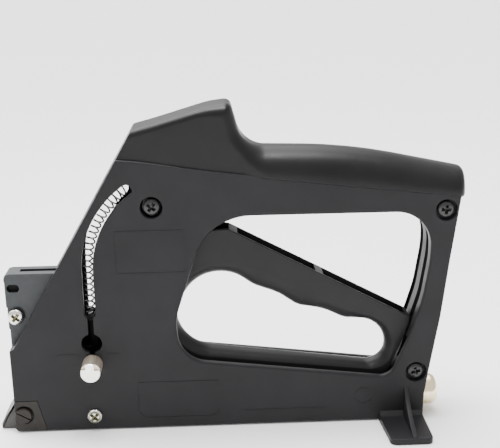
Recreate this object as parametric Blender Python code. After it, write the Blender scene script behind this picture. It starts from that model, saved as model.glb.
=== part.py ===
"""Hand-squeezed point driver of the staple-gun family, as separate working pieces.

X runs along the tool from the nose (-X) to the end of the grip (+X), Y across it, Z up.
The sizes below are millimetres, X measured from the tool's own datum line under the hump.
The model is in metres, standing on its nose and feet, with its origin at the centre of the base.
"""
import math

import bmesh
import bpy
from mathutils import Matrix, Vector

MM = 0.001
CLEAR = 0.3                      # gap kept between pieces that touch
ARC_STEP = math.radians(18)      # longest step along a rounded corner

# Overall sizes
NOSE_TIP_X = -120.7
GRIP_END_X = 114.8
MID_X = (NOSE_TIP_X + GRIP_END_X) / 2
HALF_WIDTH = 13.5                # housing, parting plane to flat side
WALL = 2.5
PARTING = 0.15                   # each half stops this far from the parting plane
BASE_Z = 0.6                     # underside of the housing
FOOT_REACH = 39.2                # parting plane to the edge of a foot
FOOT_THICK = 4.2

# Front of the housing
FRONT_X = -112.3
SLOPE_LOW = (-110.2, 46.1)
SLOPE_HIGH = (-47.1, 154.7)

# Trigger and mechanism
PIVOT = (-30.0, 85.0)
TRIGGER_REACH = 124.6            # pivot to the outer arc of the trigger
TRIGGER_HALF = 6.25              # half of the trigger's width
TRIGGER_TOP_Z = 103.0            # height of the trigger's top edge at X = 0
TRIGGER_TOP_FALL = 0.535         # fall of that edge per millimetre of X
PIVOT_BORE_R = 2.8
PAWL_PIN = (-38.0, 22.0)
DRIVE_Z = 10.5                   # height of the main spring's axis
BLADE_Z = (4.1, 5.3)
BLADE_TIP_X = -113.0
RIVET_X = -61.0
CARRIAGE_X = (-66.0, -46.0)
SEAT_X = (50.0, 56.0)
ADJUSTER_X = (98.4, 108.4)
ROD_R = 2.2                      # adjuster rod

# Magazine and follower
MAGAZINE_X = (-114.0, -86.0)
MAGAZINE_Z = (17.3, 82.0)
MAGAZINE_HALF = 5.9
CHANNEL_X = (-107.0, -91.0)      # channel that holds the stack of points
CHANNEL_HALF = 3.2
SLIT_HALF = 1.6                  # slit that the follower plate passes through
SLOT_X = -71.3                   # straight part of the slot for the follower's knob
SLOT_HALF = 2.75
SLOT_LOW_Z = 62.0
SLOT_ARC_Z = 86.0
SLOT_ARC_R = 50.0
SLOT_END_TURN = math.radians(54.3)
WINDOW_HALF = 4.6                # the wider window behind the slot, in the far half
WINDOW_LOW_Z = 56.0
WINDOW_ARC_R = 49.1
WINDOW_END_TURN = math.radians(50)
KEYHOLE_Z = 48.0
KEYHOLE_R = 5.1
KNOB_Z = 37.5
STEM_R = 1.1
FOLLOWER_TOP_Z = 61.0
FOLLOWER_SPRING_Y = -9.8

# Screws
BODY_SCREW = (-38.9, 117.8)
GRIP_SCREW = (104.5, 113.2)
STRUT_SCREW = (92.9, 26.9)
BASE_SCREW = (-72.0, 8.3)
MAGAZINE_SCREW = (-110.1, 60.6)
CHEEK_SCREW = (-107.8, 9.7)
SHANK_R = 1.6
BOSS_R = 4.2

# Opening of the grip, corners as (x, z, corner radius)
OPENING = [
    (-12.8, 112.6, 29), (98.6, 112.6, 17.6), (98.6, 88.0, 60), (95.6, 67.0, 60),
    (90.0, 47.5, 60), (80.0, 23.3, 9), (-29.5, 36.8, 17), (-30.9, 60.0, 30),
]
# Finger hole of the trigger, with its four finger hollows
FINGER_HOLE = [
    (-29.4, 38.7, 16), (-28.6, 62.0, 14), (-22.0, 80.8, 13), (2.5, 80.6, 12),
    (11.5, 70.6, 4), (25.0, 68.4, 10), (33.5, 60.2, 4), (49.0, 59.4, 10),
    (57.5, 53.0, 4), (73.0, 53.4, 9), (80.4, 43.0, 8), (78.2, 24.9, 9),
]
# Top line of the body at the parting plane, and the crease line on its flat side
TOP_LINE = [
    (-68.0, 151.1), (-46.6, 156.3), (-26.0, 161.2), (-8.5, 165.4), (-4.2, 166.9), (-1.8, 167.6),
    (-0.2, 166.4), (1.0, 163.9), (2.9, 157.0), (4.7, 152.3), (6.6, 149.0), (10.5, 146.3), (16.0, 145.0),
    (40.0, 144.4), (62.0, 142.3), (85.0, 138.0), (104.0, 133.8), (109.5, 132.0),
    (112.6, 129.2), (114.2, 125.5), (GRIP_END_X, 121.6),
]
CREASE_LINE = [
    (-118.0, 141.6), (-53.4, 141.4), (-33.8, 138.8), (-15.0, 135.7), (8.7, 132.7), (32.6, 129.7),
    (56.7, 127.0), (81.0, 123.9), (100.6, 121.7), (111.4, 120.6), (GRIP_END_X, 120.3),
]


# ---------------------------------------------------------------- scene and materials

def clear_scene():
    for item in list(bpy.data.objects):
        bpy.data.objects.remove(item, do_unlink=True)


def new_collection(name):
    group = bpy.data.collections.new(name)
    bpy.context.scene.collection.children.link(group)
    return group


def make_material(name, colour, roughness, metallic):
    coat = bpy.data.materials.new(name)
    coat.use_nodes = True
    shader = coat.node_tree.nodes["Principled BSDF"]
    shader.inputs["Base Color"].default_value = (*colour, 1.0)
    shader.inputs["Roughness"].default_value = roughness
    shader.inputs["Metallic"].default_value = metallic
    coat.diffuse_color = (*colour, 1.0)
    return coat


def at(x, y, z):
    """A point of the tool, in metres from the model's origin."""
    return Vector(((x - MID_X) * MM, y * MM, z * MM))


# ---------------------------------------------------------------- shapes

def rounded(corners):
    """Points of a polygon whose corners (x, z, radius) are rounded by arcs."""
    points = []
    count = len(corners)
    for index, (x, z, radius) in enumerate(corners):
        here = Vector((x, z))
        back = (Vector(corners[index - 1][:2]) - here).normalized()
        ahead = (Vector(corners[(index + 1) % count][:2]) - here).normalized()
        if radius <= 0:
            points.append(here)
            continue
        half = back.angle(ahead) / 2
        centre = here + (back + ahead).normalized() * radius / math.sin(half)
        spoke = here + back * radius / math.tan(half) - centre
        last = here + ahead * radius / math.tan(half) - centre
        start = math.atan2(spoke.y, spoke.x)
        turn = math.atan2(last.y, last.x) - start
        turn = (turn + math.pi) % (2 * math.pi) - math.pi
        steps = max(1, math.ceil(abs(turn) / ARC_STEP))
        for step in range(steps + 1):
            angle = start + turn * step / steps
            points.append(centre + Vector((math.cos(angle), math.sin(angle))) * radius)
    return points


def circle(x, z, radius, segments=20):
    return [Vector((x + radius * math.cos(2 * math.pi * k / segments),
                    z + radius * math.sin(2 * math.pi * k / segments))) for k in range(segments)]


def as_mesh_object(name, mesh):
    """A welded object from a mesh whose faces are made to point out."""
    shape = bmesh.new()
    shape.from_mesh(mesh)
    bmesh.ops.remove_doubles(shape, verts=shape.verts, dist=1e-6)
    bmesh.ops.recalc_face_normals(shape, faces=shape.faces)
    shape.to_mesh(mesh)
    shape.free()
    piece = bpy.data.objects.new(name, mesh)
    bpy.context.scene.collection.objects.link(piece)
    return piece


def plate(name, outlines, low, high, across="Y"):
    """A flat plate with holes: 2D outlines, filled and extruded from low to high.

    The outlines are in X and Z and the plate is thick along Y, or with across="Z" they are
    in X and Y and it is thick along Z, or with across="X" in Y and Z and thick along X.
    """
    drawing = bpy.data.curves.new(name + "_outline", "CURVE")
    drawing.dimensions = "2D"
    drawing.fill_mode = "BOTH"
    drawing.extrude = (high - low) / 2 * MM
    for outline in outlines:
        spline = drawing.splines.new("POLY")
        spline.points.add(len(outline) - 1)
        for point, (u, v) in zip(spline.points, outline):
            point.co = (u * MM, v * MM, 0, 1)
        spline.use_cyclic_u = True
    sketch = bpy.data.objects.new(name + "_outline", drawing)
    bpy.context.scene.collection.objects.link(sketch)
    bpy.context.view_layer.update()
    mesh = bpy.data.meshes.new_from_object(sketch.evaluated_get(bpy.context.evaluated_depsgraph_get()))
    bpy.data.objects.remove(sketch, do_unlink=True)
    middle = (low + high) / 2 * MM
    if across == "Y":
        turn = Matrix(((1, 0, 0, 0), (0, 0, -1, middle), (0, 1, 0, 0), (0, 0, 0, 1)))
    elif across == "X":
        turn = Matrix(((0, 0, 1, middle), (1, 0, 0, 0), (0, 1, 0, 0), (0, 0, 0, 1)))
    else:
        turn = Matrix.Translation((0, 0, middle))
    mesh.transform(Matrix.Translation((-MID_X * MM, 0, 0)) @ turn)
    return as_mesh_object(name, mesh)


def block(name, x, y, z):
    """A box between low and high limits along each axis."""
    size = Matrix.Diagonal(((x[1] - x[0]) * MM, (y[1] - y[0]) * MM, (z[1] - z[0]) * MM, 1))
    place = Matrix.Translation(at(sum(x) / 2, sum(y) / 2, sum(z) / 2))
    shape = bmesh.new()
    bmesh.ops.create_cube(shape, size=1, matrix=place @ size)
    mesh = bpy.data.meshes.new(name)
    shape.to_mesh(mesh)
    shape.free()
    return as_mesh_object(name, mesh)


def rod(name, start, end, radius, end_radius=None, segments=20):
    """A round bar, or a cone, between two points of the tool."""
    first, last = at(*start), at(*end)
    shape = bmesh.new()
    turn = (last - first).to_track_quat("Z", "Y").to_matrix().to_4x4()
    bmesh.ops.create_cone(
        shape, cap_ends=True, segments=segments, radius1=radius * MM,
        radius2=(radius if end_radius is None else end_radius) * MM,
        depth=(last - first).length, matrix=Matrix.Translation((first + last) / 2) @ turn)
    mesh = bpy.data.meshes.new(name)
    shape.to_mesh(mesh)
    shape.free()
    return as_mesh_object(name, mesh)


def turned(name, profile, start, direction, segments=24):
    """A turned piece: profile points (distance along the axis, radius) about an axis."""
    shape = bmesh.new()
    turn = Vector(direction).to_track_quat("Z", "Y").to_matrix().to_4x4()
    place = Matrix.Translation(at(*start)) @ turn
    rings = []
    for along, radius in profile:
        rings.append([shape.verts.new(place @ Vector((
            radius * MM * math.cos(2 * math.pi * k / segments),
            radius * MM * math.sin(2 * math.pi * k / segments), along * MM)))
            for k in range(segments)])
    loft_rings(shape, rings)
    mesh = bpy.data.meshes.new(name)
    shape.to_mesh(mesh)
    shape.free()
    return as_mesh_object(name, mesh)


def loft_rings(shape, rings):
    """Skin a row of rings that have the same number of points, and close both ends."""
    for ring, after in zip(rings, rings[1:]):
        for k in range(len(ring)):
            nxt = (k + 1) % len(ring)
            shape.faces.new((ring[k], ring[nxt], after[nxt], after[k]))
    shape.faces.new(rings[0])
    shape.faces.new(rings[-1])


def wire(name, points, radius, resolution=0):
    """A bent wire through points of the tool, with closed ends."""
    path = bpy.data.curves.new(name, "CURVE")
    path.dimensions = "3D"
    path.bevel_depth = radius * MM
    path.bevel_resolution = resolution
    path.use_fill_caps = True
    spline = path.splines.new("POLY")
    spline.points.add(len(points) - 1)
    for point, place in zip(spline.points, points):
        point.co = (*at(*place), 1)
    piece = bpy.data.objects.new(name, path)
    bpy.context.scene.collection.objects.link(piece)
    return piece


def combine(piece, tool, operation):
    """Boolean a tool shape into a piece, and put the tool away with the cutters."""
    step = piece.modifiers.new(tool.name, "BOOLEAN")
    step.operation = operation
    step.solver = "EXACT"
    step.object = tool
    tool.hide_render = True
    tool.display_type = "WIRE"
    for group in list(tool.users_collection):
        group.objects.unlink(tool)
    CUTTERS.objects.link(tool)


def cut(piece, *tools):
    for tool in tools:
        combine(piece, tool, "DIFFERENCE")


def join(piece, *tools):
    for tool in tools:
        combine(piece, tool, "UNION")


def finish(piece, name, material, axis_point=None):
    """Name a piece, give it its material, and put its origin on its joint's axis."""
    piece.name = name
    piece.data.name = name
    piece.data.materials.clear()
    piece.data.materials.append(MATERIALS[material])
    if axis_point is not None:
        origin = at(*axis_point)
        piece.data.transform(Matrix.Translation(-origin))
        piece.location = origin
    if piece.type == "MESH":
        piece.data.shade_smooth()
        piece.data.set_sharp_from_angle(angle=math.radians(35))
    for group in list(piece.users_collection):
        group.objects.unlink(piece)
    PARTS.objects.link(piece)
    return piece


def line_height(line, x):
    """Height of a polyline of (x, z) points at x."""
    for (x0, z0), (x1, z1) in zip(line, line[1:]):
        if x <= x1:
            return z0 + (z1 - z0) * (x - x0) / (x1 - x0)
    return line[-1][1]


def slope_x(z):
    """X of the sloped front face at height z."""
    (x0, z0), (x1, z1) = SLOPE_LOW, SLOPE_HIGH
    return x0 + (x1 - x0) * (z - z0) / (z1 - z0)


# ---------------------------------------------------------------- housing

def crown(side):
    """The hump and the rounded grip above the crease line, as a loft of cross-sections."""
    spread = 9
    rings = []
    shape = bmesh.new()
    for x, top in TOP_LINE:
        crease = line_height(CREASE_LINE, x)
        grip = min(1.0, max(0.0, (x + 2.0) / 16.0))      # 0 on the hump, 1 on the grip
        width = 12.9 + 1.4 * grip
        power = 5.5 - 3.1 * grip
        tail = max(0.0, (x - 100.0) / (GRIP_END_X - 100.0))
        width *= max(0.42, (1 - tail ** 2.6) ** (1 / 2.6))
        low = crease - 0.5 + 0.4 * grip
        ring = [(-1.0, top)]
        for k in range(spread):
            angle = math.pi / 2 * k / (spread - 1)
            y = width * max(0.0, math.sin(angle)) ** (2 / power)
            z = low + (top - low) * max(0.0, math.cos(angle)) ** (2 / power)
            ring.append((y, z))
        ring += [(min(12.0, width - 0.5), low - 2.0), (-1.0, low - 2.0)]
        rings.append([shape.verts.new(at(x, side * y, z)) for y, z in ring])
    loft_rings(shape, rings)
    mesh = bpy.data.meshes.new("crown")
    shape.to_mesh(mesh)
    shape.free()
    return as_mesh_object("crown", mesh)


def side_plate(name, outlines, side, inner, outer):
    """A plate between two distances from the parting plane, on one side of it."""
    low, high = sorted((side * inner, side * outer))
    return plate(name, outlines, low, high)


def side_rod(name, place, side, inner, outer, radius, segments=20):
    return rod(name, (place[0], side * inner, place[1]), (place[0], side * outer, place[1]),
               radius, segments=segments)


def slot_outline(low, arc_r, half, end_turn):
    """A curved slot: a straight run up from low, then an arc to its rounded end."""
    centre_x = SLOT_X + SLOT_ARC_R
    turns = [end_turn * k / 8 for k in range(9)]
    outer = [Vector((centre_x - (arc_r + half) * math.cos(t), SLOT_ARC_Z + (arc_r + half) * math.sin(t)))
             for t in turns]
    inner = [Vector((centre_x - (arc_r - half) * math.cos(t), SLOT_ARC_Z + (arc_r - half) * math.sin(t)))
             for t in turns]
    along = Vector((math.sin(end_turn), math.cos(end_turn)))
    middle = (outer[-1] + inner[-1]) / 2
    across = (outer[-1] - middle).normalized()
    cap = [middle + across * half * math.cos(a) + along * half * math.sin(a)
           for a in (math.radians(d) for d in (45, 90, 135))]
    foot_left = Vector((outer[0].x, low))
    foot_right = Vector((inner[0].x, low))
    return [foot_left] + outer + cap + inner[::-1] + [foot_right]


def foot(side):
    """A foot flange with its upright gusset."""
    flange = plate("foot_flange", [rounded([
        (74.3, side * 12.0, 0), (77.4, side * FOOT_REACH, 3), (96.2, side * FOOT_REACH, 3),
        (96.6, side * 12.0, 0)])], 0.0, FOOT_THICK, across="Z")
    gusset = plate("foot_gusset", [[
        Vector((side * 12.5, 3.0)), Vector((side * 12.5, 19.6)), Vector((side * 14.5, 19.2)),
        Vector((side * 22.0, 12.2)), Vector((side * 30.0, 7.6)), Vector((side * 38.0, 5.0)),
        Vector((side * 38.0, 3.0))]], 84.4, 86.6, across="X")
    join(flange, gusset)
    return flange


def housing_half(side):
    """One moulded half of the housing; side is -1 for the near half and 1 for the far one."""
    name = "housing_near" if side < 0 else "housing_far"
    lower = [(-118.0, BASE_Z)] + CREASE_LINE[:-1]
    lower += [(107.6, 87.9), (104.2, 57.1), (99.2, 26.4), (97.0, 12.8), (97.0, BASE_Z)]
    body = side_plate(name, [[Vector(p) for p in lower]], side, -0.8, HALF_WIDTH)
    join(body, crown(side), foot(side))
    in_front = [(-140.0, -5.0), (FRONT_X, -5.0), (FRONT_X, 45.0), SLOPE_LOW,
                (slope_x(175.0), 175.0), (-140.0, 175.0)]
    cut(body, side_plate("front_face", [[Vector(p) for p in in_front]], side, -3.0, 20.0))

    # Hollows inside the half
    inside = HALF_WIDTH - WALL
    main = [(-109.8, 3.1), (-109.8, 44.4), (-108.2, 44.4), (-54.0, 137.7), (4.0, 129.6),
            (4.0, 28.7), (80.0, 19.4), (94.9, 19.0), (94.4, 3.1)]
    strut = [(88.4, 36.0), (93.6, 52.0), (98.6, 68.0), (101.2, 88.0), (101.2, 106.0),
             (106.8, 106.0), (105.0, 88.0), (101.4, 57.0), (98.2, 36.0)]
    hump = [(-55.0, 130.0), (-44.5, 150.5), (-4.0, 160.5), (0.0, 156.0), (1.5, 146.0), (3.5, 130.0)]
    grip = [(3.5, 115.2), (3.5, 141.5), (16.0, 140.0), (40.0, 139.4), (62.0, 137.0),
            (85.0, 132.8), (101.0, 128.6), (106.0, 123.0), (106.0, 119.0), (98.0, 115.2)]
    trigger_way = [(-16.0, 90.0), (-16.0, 121.0), (20.0, 121.0), (20.0, 108.0), (0.0, 100.0)]
    rest_groove = [(-14.0, 36.0), (-14.0, 32.8), (75.0, 21.2), (84.0, 27.0), (86.0, 34.0), (60.0, 40.0)]
    for label, outline, depth in (("main_hollow", main, inside), ("strut_hollow", strut, inside),
                                  ("hump_hollow", hump, 9.5), ("grip_hollow", grip, 8.0),
                                  ("trigger_way", trigger_way, 7.6), ("rest_groove", rest_groove, 7.2)):
        cut(body, side_plate(label, [[Vector(p) for p in outline]], side, -2.0, depth))

    # Screw bosses and the trigger's pivot bosses
    for place, inner in ((BODY_SCREW, -0.9), (GRIP_SCREW, -0.9), (STRUT_SCREW, -0.9),
                         (BASE_SCREW, 7.6)):
        join(body, side_rod("screw_boss", place, side, inner, inside + 1.0, BOSS_R))
        if side < 0 and place != BASE_SCREW:
            join(body, side_rod("head_cup", place, side, inside - 3.0, inside + 1.2, 6.9))
    join(body, side_rod("pivot_boss", PIVOT, side, TRIGGER_HALF + 0.5, inside + 1.0, 5.2))
    cut(body, side_rod("pivot_bore", PIVOT, side, 0.0, inside, PIVOT_BORE_R))
    for place in (BODY_SCREW, GRIP_SCREW, STRUT_SCREW):
        through = 20.0 if side < 0 else 9.5
        cut(body, side_rod("screw_bore", place, side, -2.0, through, SHANK_R + CLEAR))
        if side < 0:
            cut(body, side_rod("head_recess", place, side, HALF_WIDTH - 3.0, 20.0, 5.3))
    cut(body, side_rod("base_bore", BASE_SCREW, side, 0.0, 20.0 if side < 0 else 10.5,
                       SHANK_R + CLEAR))

    # Openings: the grip, the slot with its keyhole or the window behind it, the nose, and the
    # adjuster's hole
    cut(body, side_plate("grip_opening", [rounded(OPENING)], side, -2.0, 20.0))
    if side < 0:
        slot = slot_outline(SLOT_LOW_Z, SLOT_ARC_R, SLOT_HALF, SLOT_END_TURN)
        cut(body, side_plate("follower_slot", [slot], side, inside - 1.0, 20.0))
        way_half = STEM_R + CLEAR
        stem_way = [(SLOT_X - way_half, KNOB_Z - 2.0), (SLOT_X - way_half, SLOT_LOW_Z + 1.0),
                    (SLOT_X + way_half, SLOT_LOW_Z + 1.0), (SLOT_X + way_half, KNOB_Z - 2.0)]
        cut(body, side_plate("stem_way", [[Vector(p) for p in stem_way]], side, inside - 1.0, 20.0))
        cut(body, side_rod("keyhole", (SLOT_X, KEYHOLE_Z), side, inside - 1.0, 20.0, KEYHOLE_R))
    else:
        window = slot_outline(WINDOW_LOW_Z, WINDOW_ARC_R, WINDOW_HALF, WINDOW_END_TURN)
        cut(body, side_plate("view_window", [window], side, inside - 1.0, 20.0))
    cut(body, block("magazine_way", (-125.0, MAGAZINE_X[1] + CLEAR),
                    sorted((-side, side * (MAGAZINE_HALF + CLEAR))), (16.9, 100.0)))
    cut(body, block("nose_way", (-125.0, -85.7), sorted((-side, side * 9.3)), (-5.0, 16.95)))
    cheek_space = [(-125.0, -5.0), (-125.0, 17.6), (-100.5, 17.6), (-94.8, -5.0)]
    cut(body, side_plate("cheek_space", [[Vector(p) for p in cheek_space]], side, 9.0, 20.0))
    cut(body, rod("adjuster_hole", (80.0, 0.0, DRIVE_Z), (99.0, 0.0, DRIVE_Z), 2.6))
    cut(body, block("parting_face", (-150.0, 150.0), sorted((side * PARTING, -side * 5.0)), (-5.0, 200.0)))
    return finish(body, name, "housing")


# ---------------------------------------------------------------- fasteners

def cross_screw(name, place, head_y, head_r, head_t, shank_end, material, domed):
    """A cross-head screw along Y with its head on the near side."""
    x, z = place
    dome = [(0.0, head_r), (head_t * 0.45, head_r), (head_t * 0.85, head_r * 0.8), (head_t, head_r * 0.5)]
    flat = [(0.0, head_r), (head_t * 0.8, head_r), (head_t, head_r * 0.86)]
    length = shank_end - head_y
    shank = [(-length, SHANK_R * 0.4), (-length + 1.6, SHANK_R), (0.0, SHANK_R)]
    screw = turned(name, shank + (dome if domed else flat), (x, head_y, z), (0, -1, 0), segments=16)
    depth = head_t * 0.75
    bar = head_r * 0.55
    for long_x, long_z in ((bar, 0.5), (0.5, bar)):
        cut(screw, block("cross", (x - long_x, x + long_x), (head_y - head_t - 1, head_y - head_t + depth),
                         (z - long_z, z + long_z)))
    return finish(screw, name, material)


def housing_screws():
    for name, place in (("screw_body_upper", BODY_SCREW), ("screw_grip_rear", GRIP_SCREW),
                        ("screw_strut_lower", STRUT_SCREW)):
        cross_screw(name, place, -10.8, 4.3, 2.2, 9.0, "black_steel", True)
    cross_screw("screw_base_front", BASE_SCREW, -13.8, 3.85, 2.3, 10.0, "nickel", True)
    cross_screw("screw_magazine", MAGAZINE_SCREW, -6.2, 3.6, 1.6, 3.6, "nickel", True)


# ---------------------------------------------------------------- nose and magazine

def magazine_plate(side):
    """Half of the magazine: a side plate with half of the point channel cut in it."""
    name = "magazine_plate_near" if side < 0 else "magazine_plate_far"
    low, high = MAGAZINE_Z
    outline = [(MAGAZINE_X[0] + 0.4, low), (MAGAZINE_X[0] + 0.4, 53.0), (MAGAZINE_X[0], 54.5),
               (MAGAZINE_X[0], high), (MAGAZINE_X[1], high), (MAGAZINE_X[1], low)]
    half = side_plate(name, [[Vector(p) for p in outline]], side, PARTING, MAGAZINE_HALF)
    cut(half, block("point_channel", CHANNEL_X, sorted((-side, side * CHANNEL_HALF)), (0.0, 100.0)))
    cut(half, block("follower_slit", (CHANNEL_X[1] - 1.0, -80.0), sorted((-side, side * SLIT_HALF)),
                    (0.0, 100.0)))
    through = 20.0 if side < 0 else 4.2
    cut(half, side_rod("magazine_bore", MAGAZINE_SCREW, side, -1.0, through, SHANK_R + CLEAR))
    cut(half, side_rod("locating_dimple", (-109.9, 71.1), side, 4.4, 20.0, 2.0, segments=16))
    return finish(half, name, "nose_steel")


def nose_tip():
    """The wedge-fronted nose block with the blade's slot and the foot of the point channel."""
    outline = [(NOSE_TIP_X, 0.0), (NOSE_TIP_X, 2.4), (-118.9, 5.9), (-113.4, 13.6), (-112.9, 16.6),
               (-86.3, 16.6), (-86.3, 0.6), (-96.0, 0.0)]
    tip = plate("nose_tip", [[Vector(p) for p in outline]], -9.0, 9.0)
    cut(tip, block("blade_slot", (-130.0, -80.0), (-3.4, 3.4), (3.7, 5.8)))
    cut(tip, block("channel_foot", CHANNEL_X, (-CHANNEL_HALF, CHANNEL_HALF), (4.5, 30.0)))
    cut(tip, block("slit_foot", (CHANNEL_X[1] - 1.0, -80.0), (-SLIT_HALF, SLIT_HALF), (6.4, 30.0)))
    for side in (-1, 1):
        cut(tip, side_rod("cheek_thread", CHEEK_SCREW, side, 4.2, 20.0, SHANK_R + CLEAR))
    return finish(tip, "nose_tip", "tip_steel")


def nose_cheek(side):
    """The steel cheek plate let into the side of the housing at the nose."""
    name = "nose_cheek_near" if side < 0 else "nose_cheek_far"
    outline = [(-112.9, BASE_Z), (-112.3, 17.2), (-100.9, 17.2), (-96.7, BASE_Z)]
    cheek = side_plate(name, [[Vector(p) for p in outline]], side, 11.4, HALF_WIDTH)
    join(cheek, side_rod("cheek_boss", CHEEK_SCREW, side, 9.3, 12.0, 4.4))
    cut(cheek, side_rod("cheek_bore", CHEEK_SCREW, side, 0.0, 20.0, SHANK_R + CLEAR))
    cut(cheek, side_rod("cheek_recess", CHEEK_SCREW, side, HALF_WIDTH - 1.5, 20.0, 4.8))
    return finish(cheek, name, "cheek_steel")


def cheek_screw(side):
    """A slotted screw that holds a cheek plate on the nose."""
    name = "cheek_screw_near" if side < 0 else "cheek_screw_far"
    x, z = CHEEK_SCREW
    profile = [(-6.8, SHANK_R * 0.5), (-6.0, SHANK_R), (0.0, SHANK_R), (0.0, 4.2), (0.9, 4.2), (1.2, 3.9)]
    screw = turned(name, profile, (x, side * 12.3, z), (0, side, 0), segments=16)
    slot = block("driver_slot", (x - 5.0, x + 5.0), sorted((side * 12.9, side * 15.0)),
                 (z - 0.45, z + 0.45))
    pivot = at(x, 0.0, z)
    tilt = Matrix.Rotation(math.radians(29), 4, "Y")
    slot.data.transform(Matrix.Translation(pivot) @ tilt @ Matrix.Translation(-pivot))
    cut(screw, slot)
    return finish(screw, name, "cheek_steel")


# ---------------------------------------------------------------- trigger

def trigger_lever():
    """The closed trigger loop, with its pivot and the arm that reaches down to the driver."""
    px, pz = PIVOT
    arc = []
    for degrees in (-17, -20, -23, -25.5):
        turn = math.radians(degrees)
        arc.append((px + TRIGGER_REACH * math.cos(turn), pz + TRIGGER_REACH * math.sin(turn), 0))
    ax, az = PAWL_PIN
    outline = [(-2.0, 104.0, 5), (88.6, 55.6, 2.5)] + arc
    outline += [(79.4, 24.0, 6), (ax + 14.0, 33.2, 6), (ax + 7.0, 33.0, 5), (ax + 4.2, az - 4.2, 4),
                (ax - 4.2, az - 4.2, 4), (ax - 5.5, 40.0, 20), (px - 10.0, pz - 6.0, 8),
                (px - 8.0, pz + 9.0, 8), (px + 10.0, 103.0, 8)]
    lever = plate("trigger_lever", [rounded(outline), rounded(FINGER_HOLE), circle(px, pz, PIVOT_BORE_R)],
                  -TRIGGER_HALF, TRIGGER_HALF)
    slope = math.atan(-TRIGGER_TOP_FALL)
    for start, end in ((4.0, 41.5), (46.0, 83.0)):
        middle = (start + end) / 2
        centre = at(middle, 0.0, TRIGGER_TOP_Z - TRIGGER_TOP_FALL * middle)
        pocket = block("top_pocket", (-0.5, 0.5), (-4.7, 4.7), (-5.5, 5.5))
        shrink = Matrix.Diagonal(((end - start) / math.cos(slope), 1, 1, 1))
        pocket.data.transform(Matrix.Translation(-at(0.0, 0.0, 0.0)))
        pocket.data.transform(Matrix.Translation(centre) @ Matrix.Rotation(-slope, 4, "Y") @ shrink)
        cut(lever, pocket)
    cut(lever, block("pawl_fork", (ax - 9.0, ax + 9.0), (-2.6, 2.6), (az - 9.0, az + 8.0)))
    cut(lever, rod("pawl_bore", (ax, -10.0, az), (ax, 10.0, az), 1.5 + CLEAR))
    return finish(lever, "trigger_lever", "trigger", (px, 0.0, pz))


def cocking_pawl():
    """The pawl that hooks into the carriage and draws it back."""
    ax, az = PAWL_PIN
    outline = [(ax + 3.2, az + 3.2, 3), (ax + 3.2, az - 3.2, 3), (ax - 4.0, az - 3.2, 0),
               (ax - 12.5, az - 3.2, 0), (ax - 13.0, az - 8.6, 0), (ax - 16.4, az - 8.6, 0),
               (ax - 17.2, az - 2.0, 3), (ax - 4.0, az + 3.2, 3)]
    pawl = plate("cocking_pawl", [rounded(outline), circle(ax, az, 1.5 + CLEAR, 16)], -2.2, 2.2)
    return finish(pawl, "cocking_pawl", "steel", (ax, 0.0, az))


def pins():
    px, pz = PIVOT
    ax, az = PAWL_PIN
    finish(rod("trigger_pin", (px, -10.7, pz), (px, 10.7, pz), 2.5), "trigger_pivot_pin", "steel")
    finish(rod("pawl_pin", (ax, -6.2, az), (ax, 6.2, az), 1.5, segments=16), "pawl_pin", "steel",
           (ax, 0.0, az))


def trigger_spring():
    """The torsion spring about the trigger's pivot, with a leg on the lever and one on the housing."""
    px, pz = PIVOT
    radius, turns, steps = 6.4, 3, 12
    points = [(px - 16.0, 7.3, pz + 17.0)]
    count = turns * steps + 2
    for k in range(count + 1):
        angle = math.radians(120) + 2 * math.pi * k / steps
        points.append((px + radius * math.cos(angle), 7.3 + 3.0 * k / count,
                       pz + radius * math.sin(angle)))
    points.append((px - 8.0, 10.3, pz - 20.0))
    return finish(wire("trigger_return_spring", points, 0.45), "trigger_return_spring", "spring_steel")


# ---------------------------------------------------------------- driver

def driver_parts():
    """The carriage, its blade and the rivet that joins them."""
    front, rear = CARRIAGE_X
    ax, az = PAWL_PIN
    carriage = block("driver_carriage", CARRIAGE_X, (-5.6, 5.6), (BLADE_Z[1] + CLEAR, 17.0))
    cut(carriage, block("pawl_notch", (ax - 16.9, ax - 12.2), (-2.8, 2.8), (az - 10.0, 30.0)))
    cut(carriage, block("pawl_clearance", (ax - 12.6, rear + 1.0), (-2.8, 2.8), (16.2, 30.0)))
    cut(carriage, block("spring_pocket", (rear - 2.5, rear + 1.0), (-5.0, 5.0), (5.4, 15.8)))
    cut(carriage, rod("rivet_bore", (RIVET_X, 0, 0), (RIVET_X, 0, 13.0), 1.5, segments=12))
    finish(carriage, "driver_carriage", "steel", (front, 0.0, DRIVE_Z))
    blade = block("driver_blade", (BLADE_TIP_X, RIVET_X + 4.0), (-3.0, 3.0), BLADE_Z)
    cut(blade, rod("rivet_hole", (RIVET_X, 0, 0), (RIVET_X, 0, 13.0), 1.5, segments=12))
    finish(blade, "driver_blade", "bright_steel", (BLADE_TIP_X, 0.0, BLADE_Z[0]))
    finish(rod("blade_rivet", (RIVET_X, 0, BLADE_Z[0] + 0.1), (RIVET_X, 0, 12.6), 1.2, segments=12),
           "blade_rivet", "steel", (RIVET_X, 0.0, BLADE_Z[0]))


def driver_track():
    """The folded steel channel that the blade and carriage slide in."""
    outline = [(-7.0, 3.4), (-7.0, 6.0), (-6.1, 6.0), (-6.1, 3.9), (6.1, 3.9), (6.1, 6.0), (7.0, 6.0),
               (7.0, 3.4)]
    track = plate("driver_track", [[Vector(p) for p in outline]], -85.9, -22.0, across="X")
    return finish(track, "driver_track", "bright_steel")


def driver_bumper():
    """The rubber block on the base screw that stops the carriage."""
    x, z = BASE_SCREW
    bumper = block("driver_bumper", (-77.0, CARRIAGE_X[0] - 0.4), (-5.5, 5.5), (BLADE_Z[1] + 0.4, 15.0))
    cut(bumper, rod("bumper_bore", (x, -10.0, z), (x, 10.0, z), SHANK_R + CLEAR, segments=16))
    return finish(bumper, "driver_bumper", "rubber")


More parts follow.
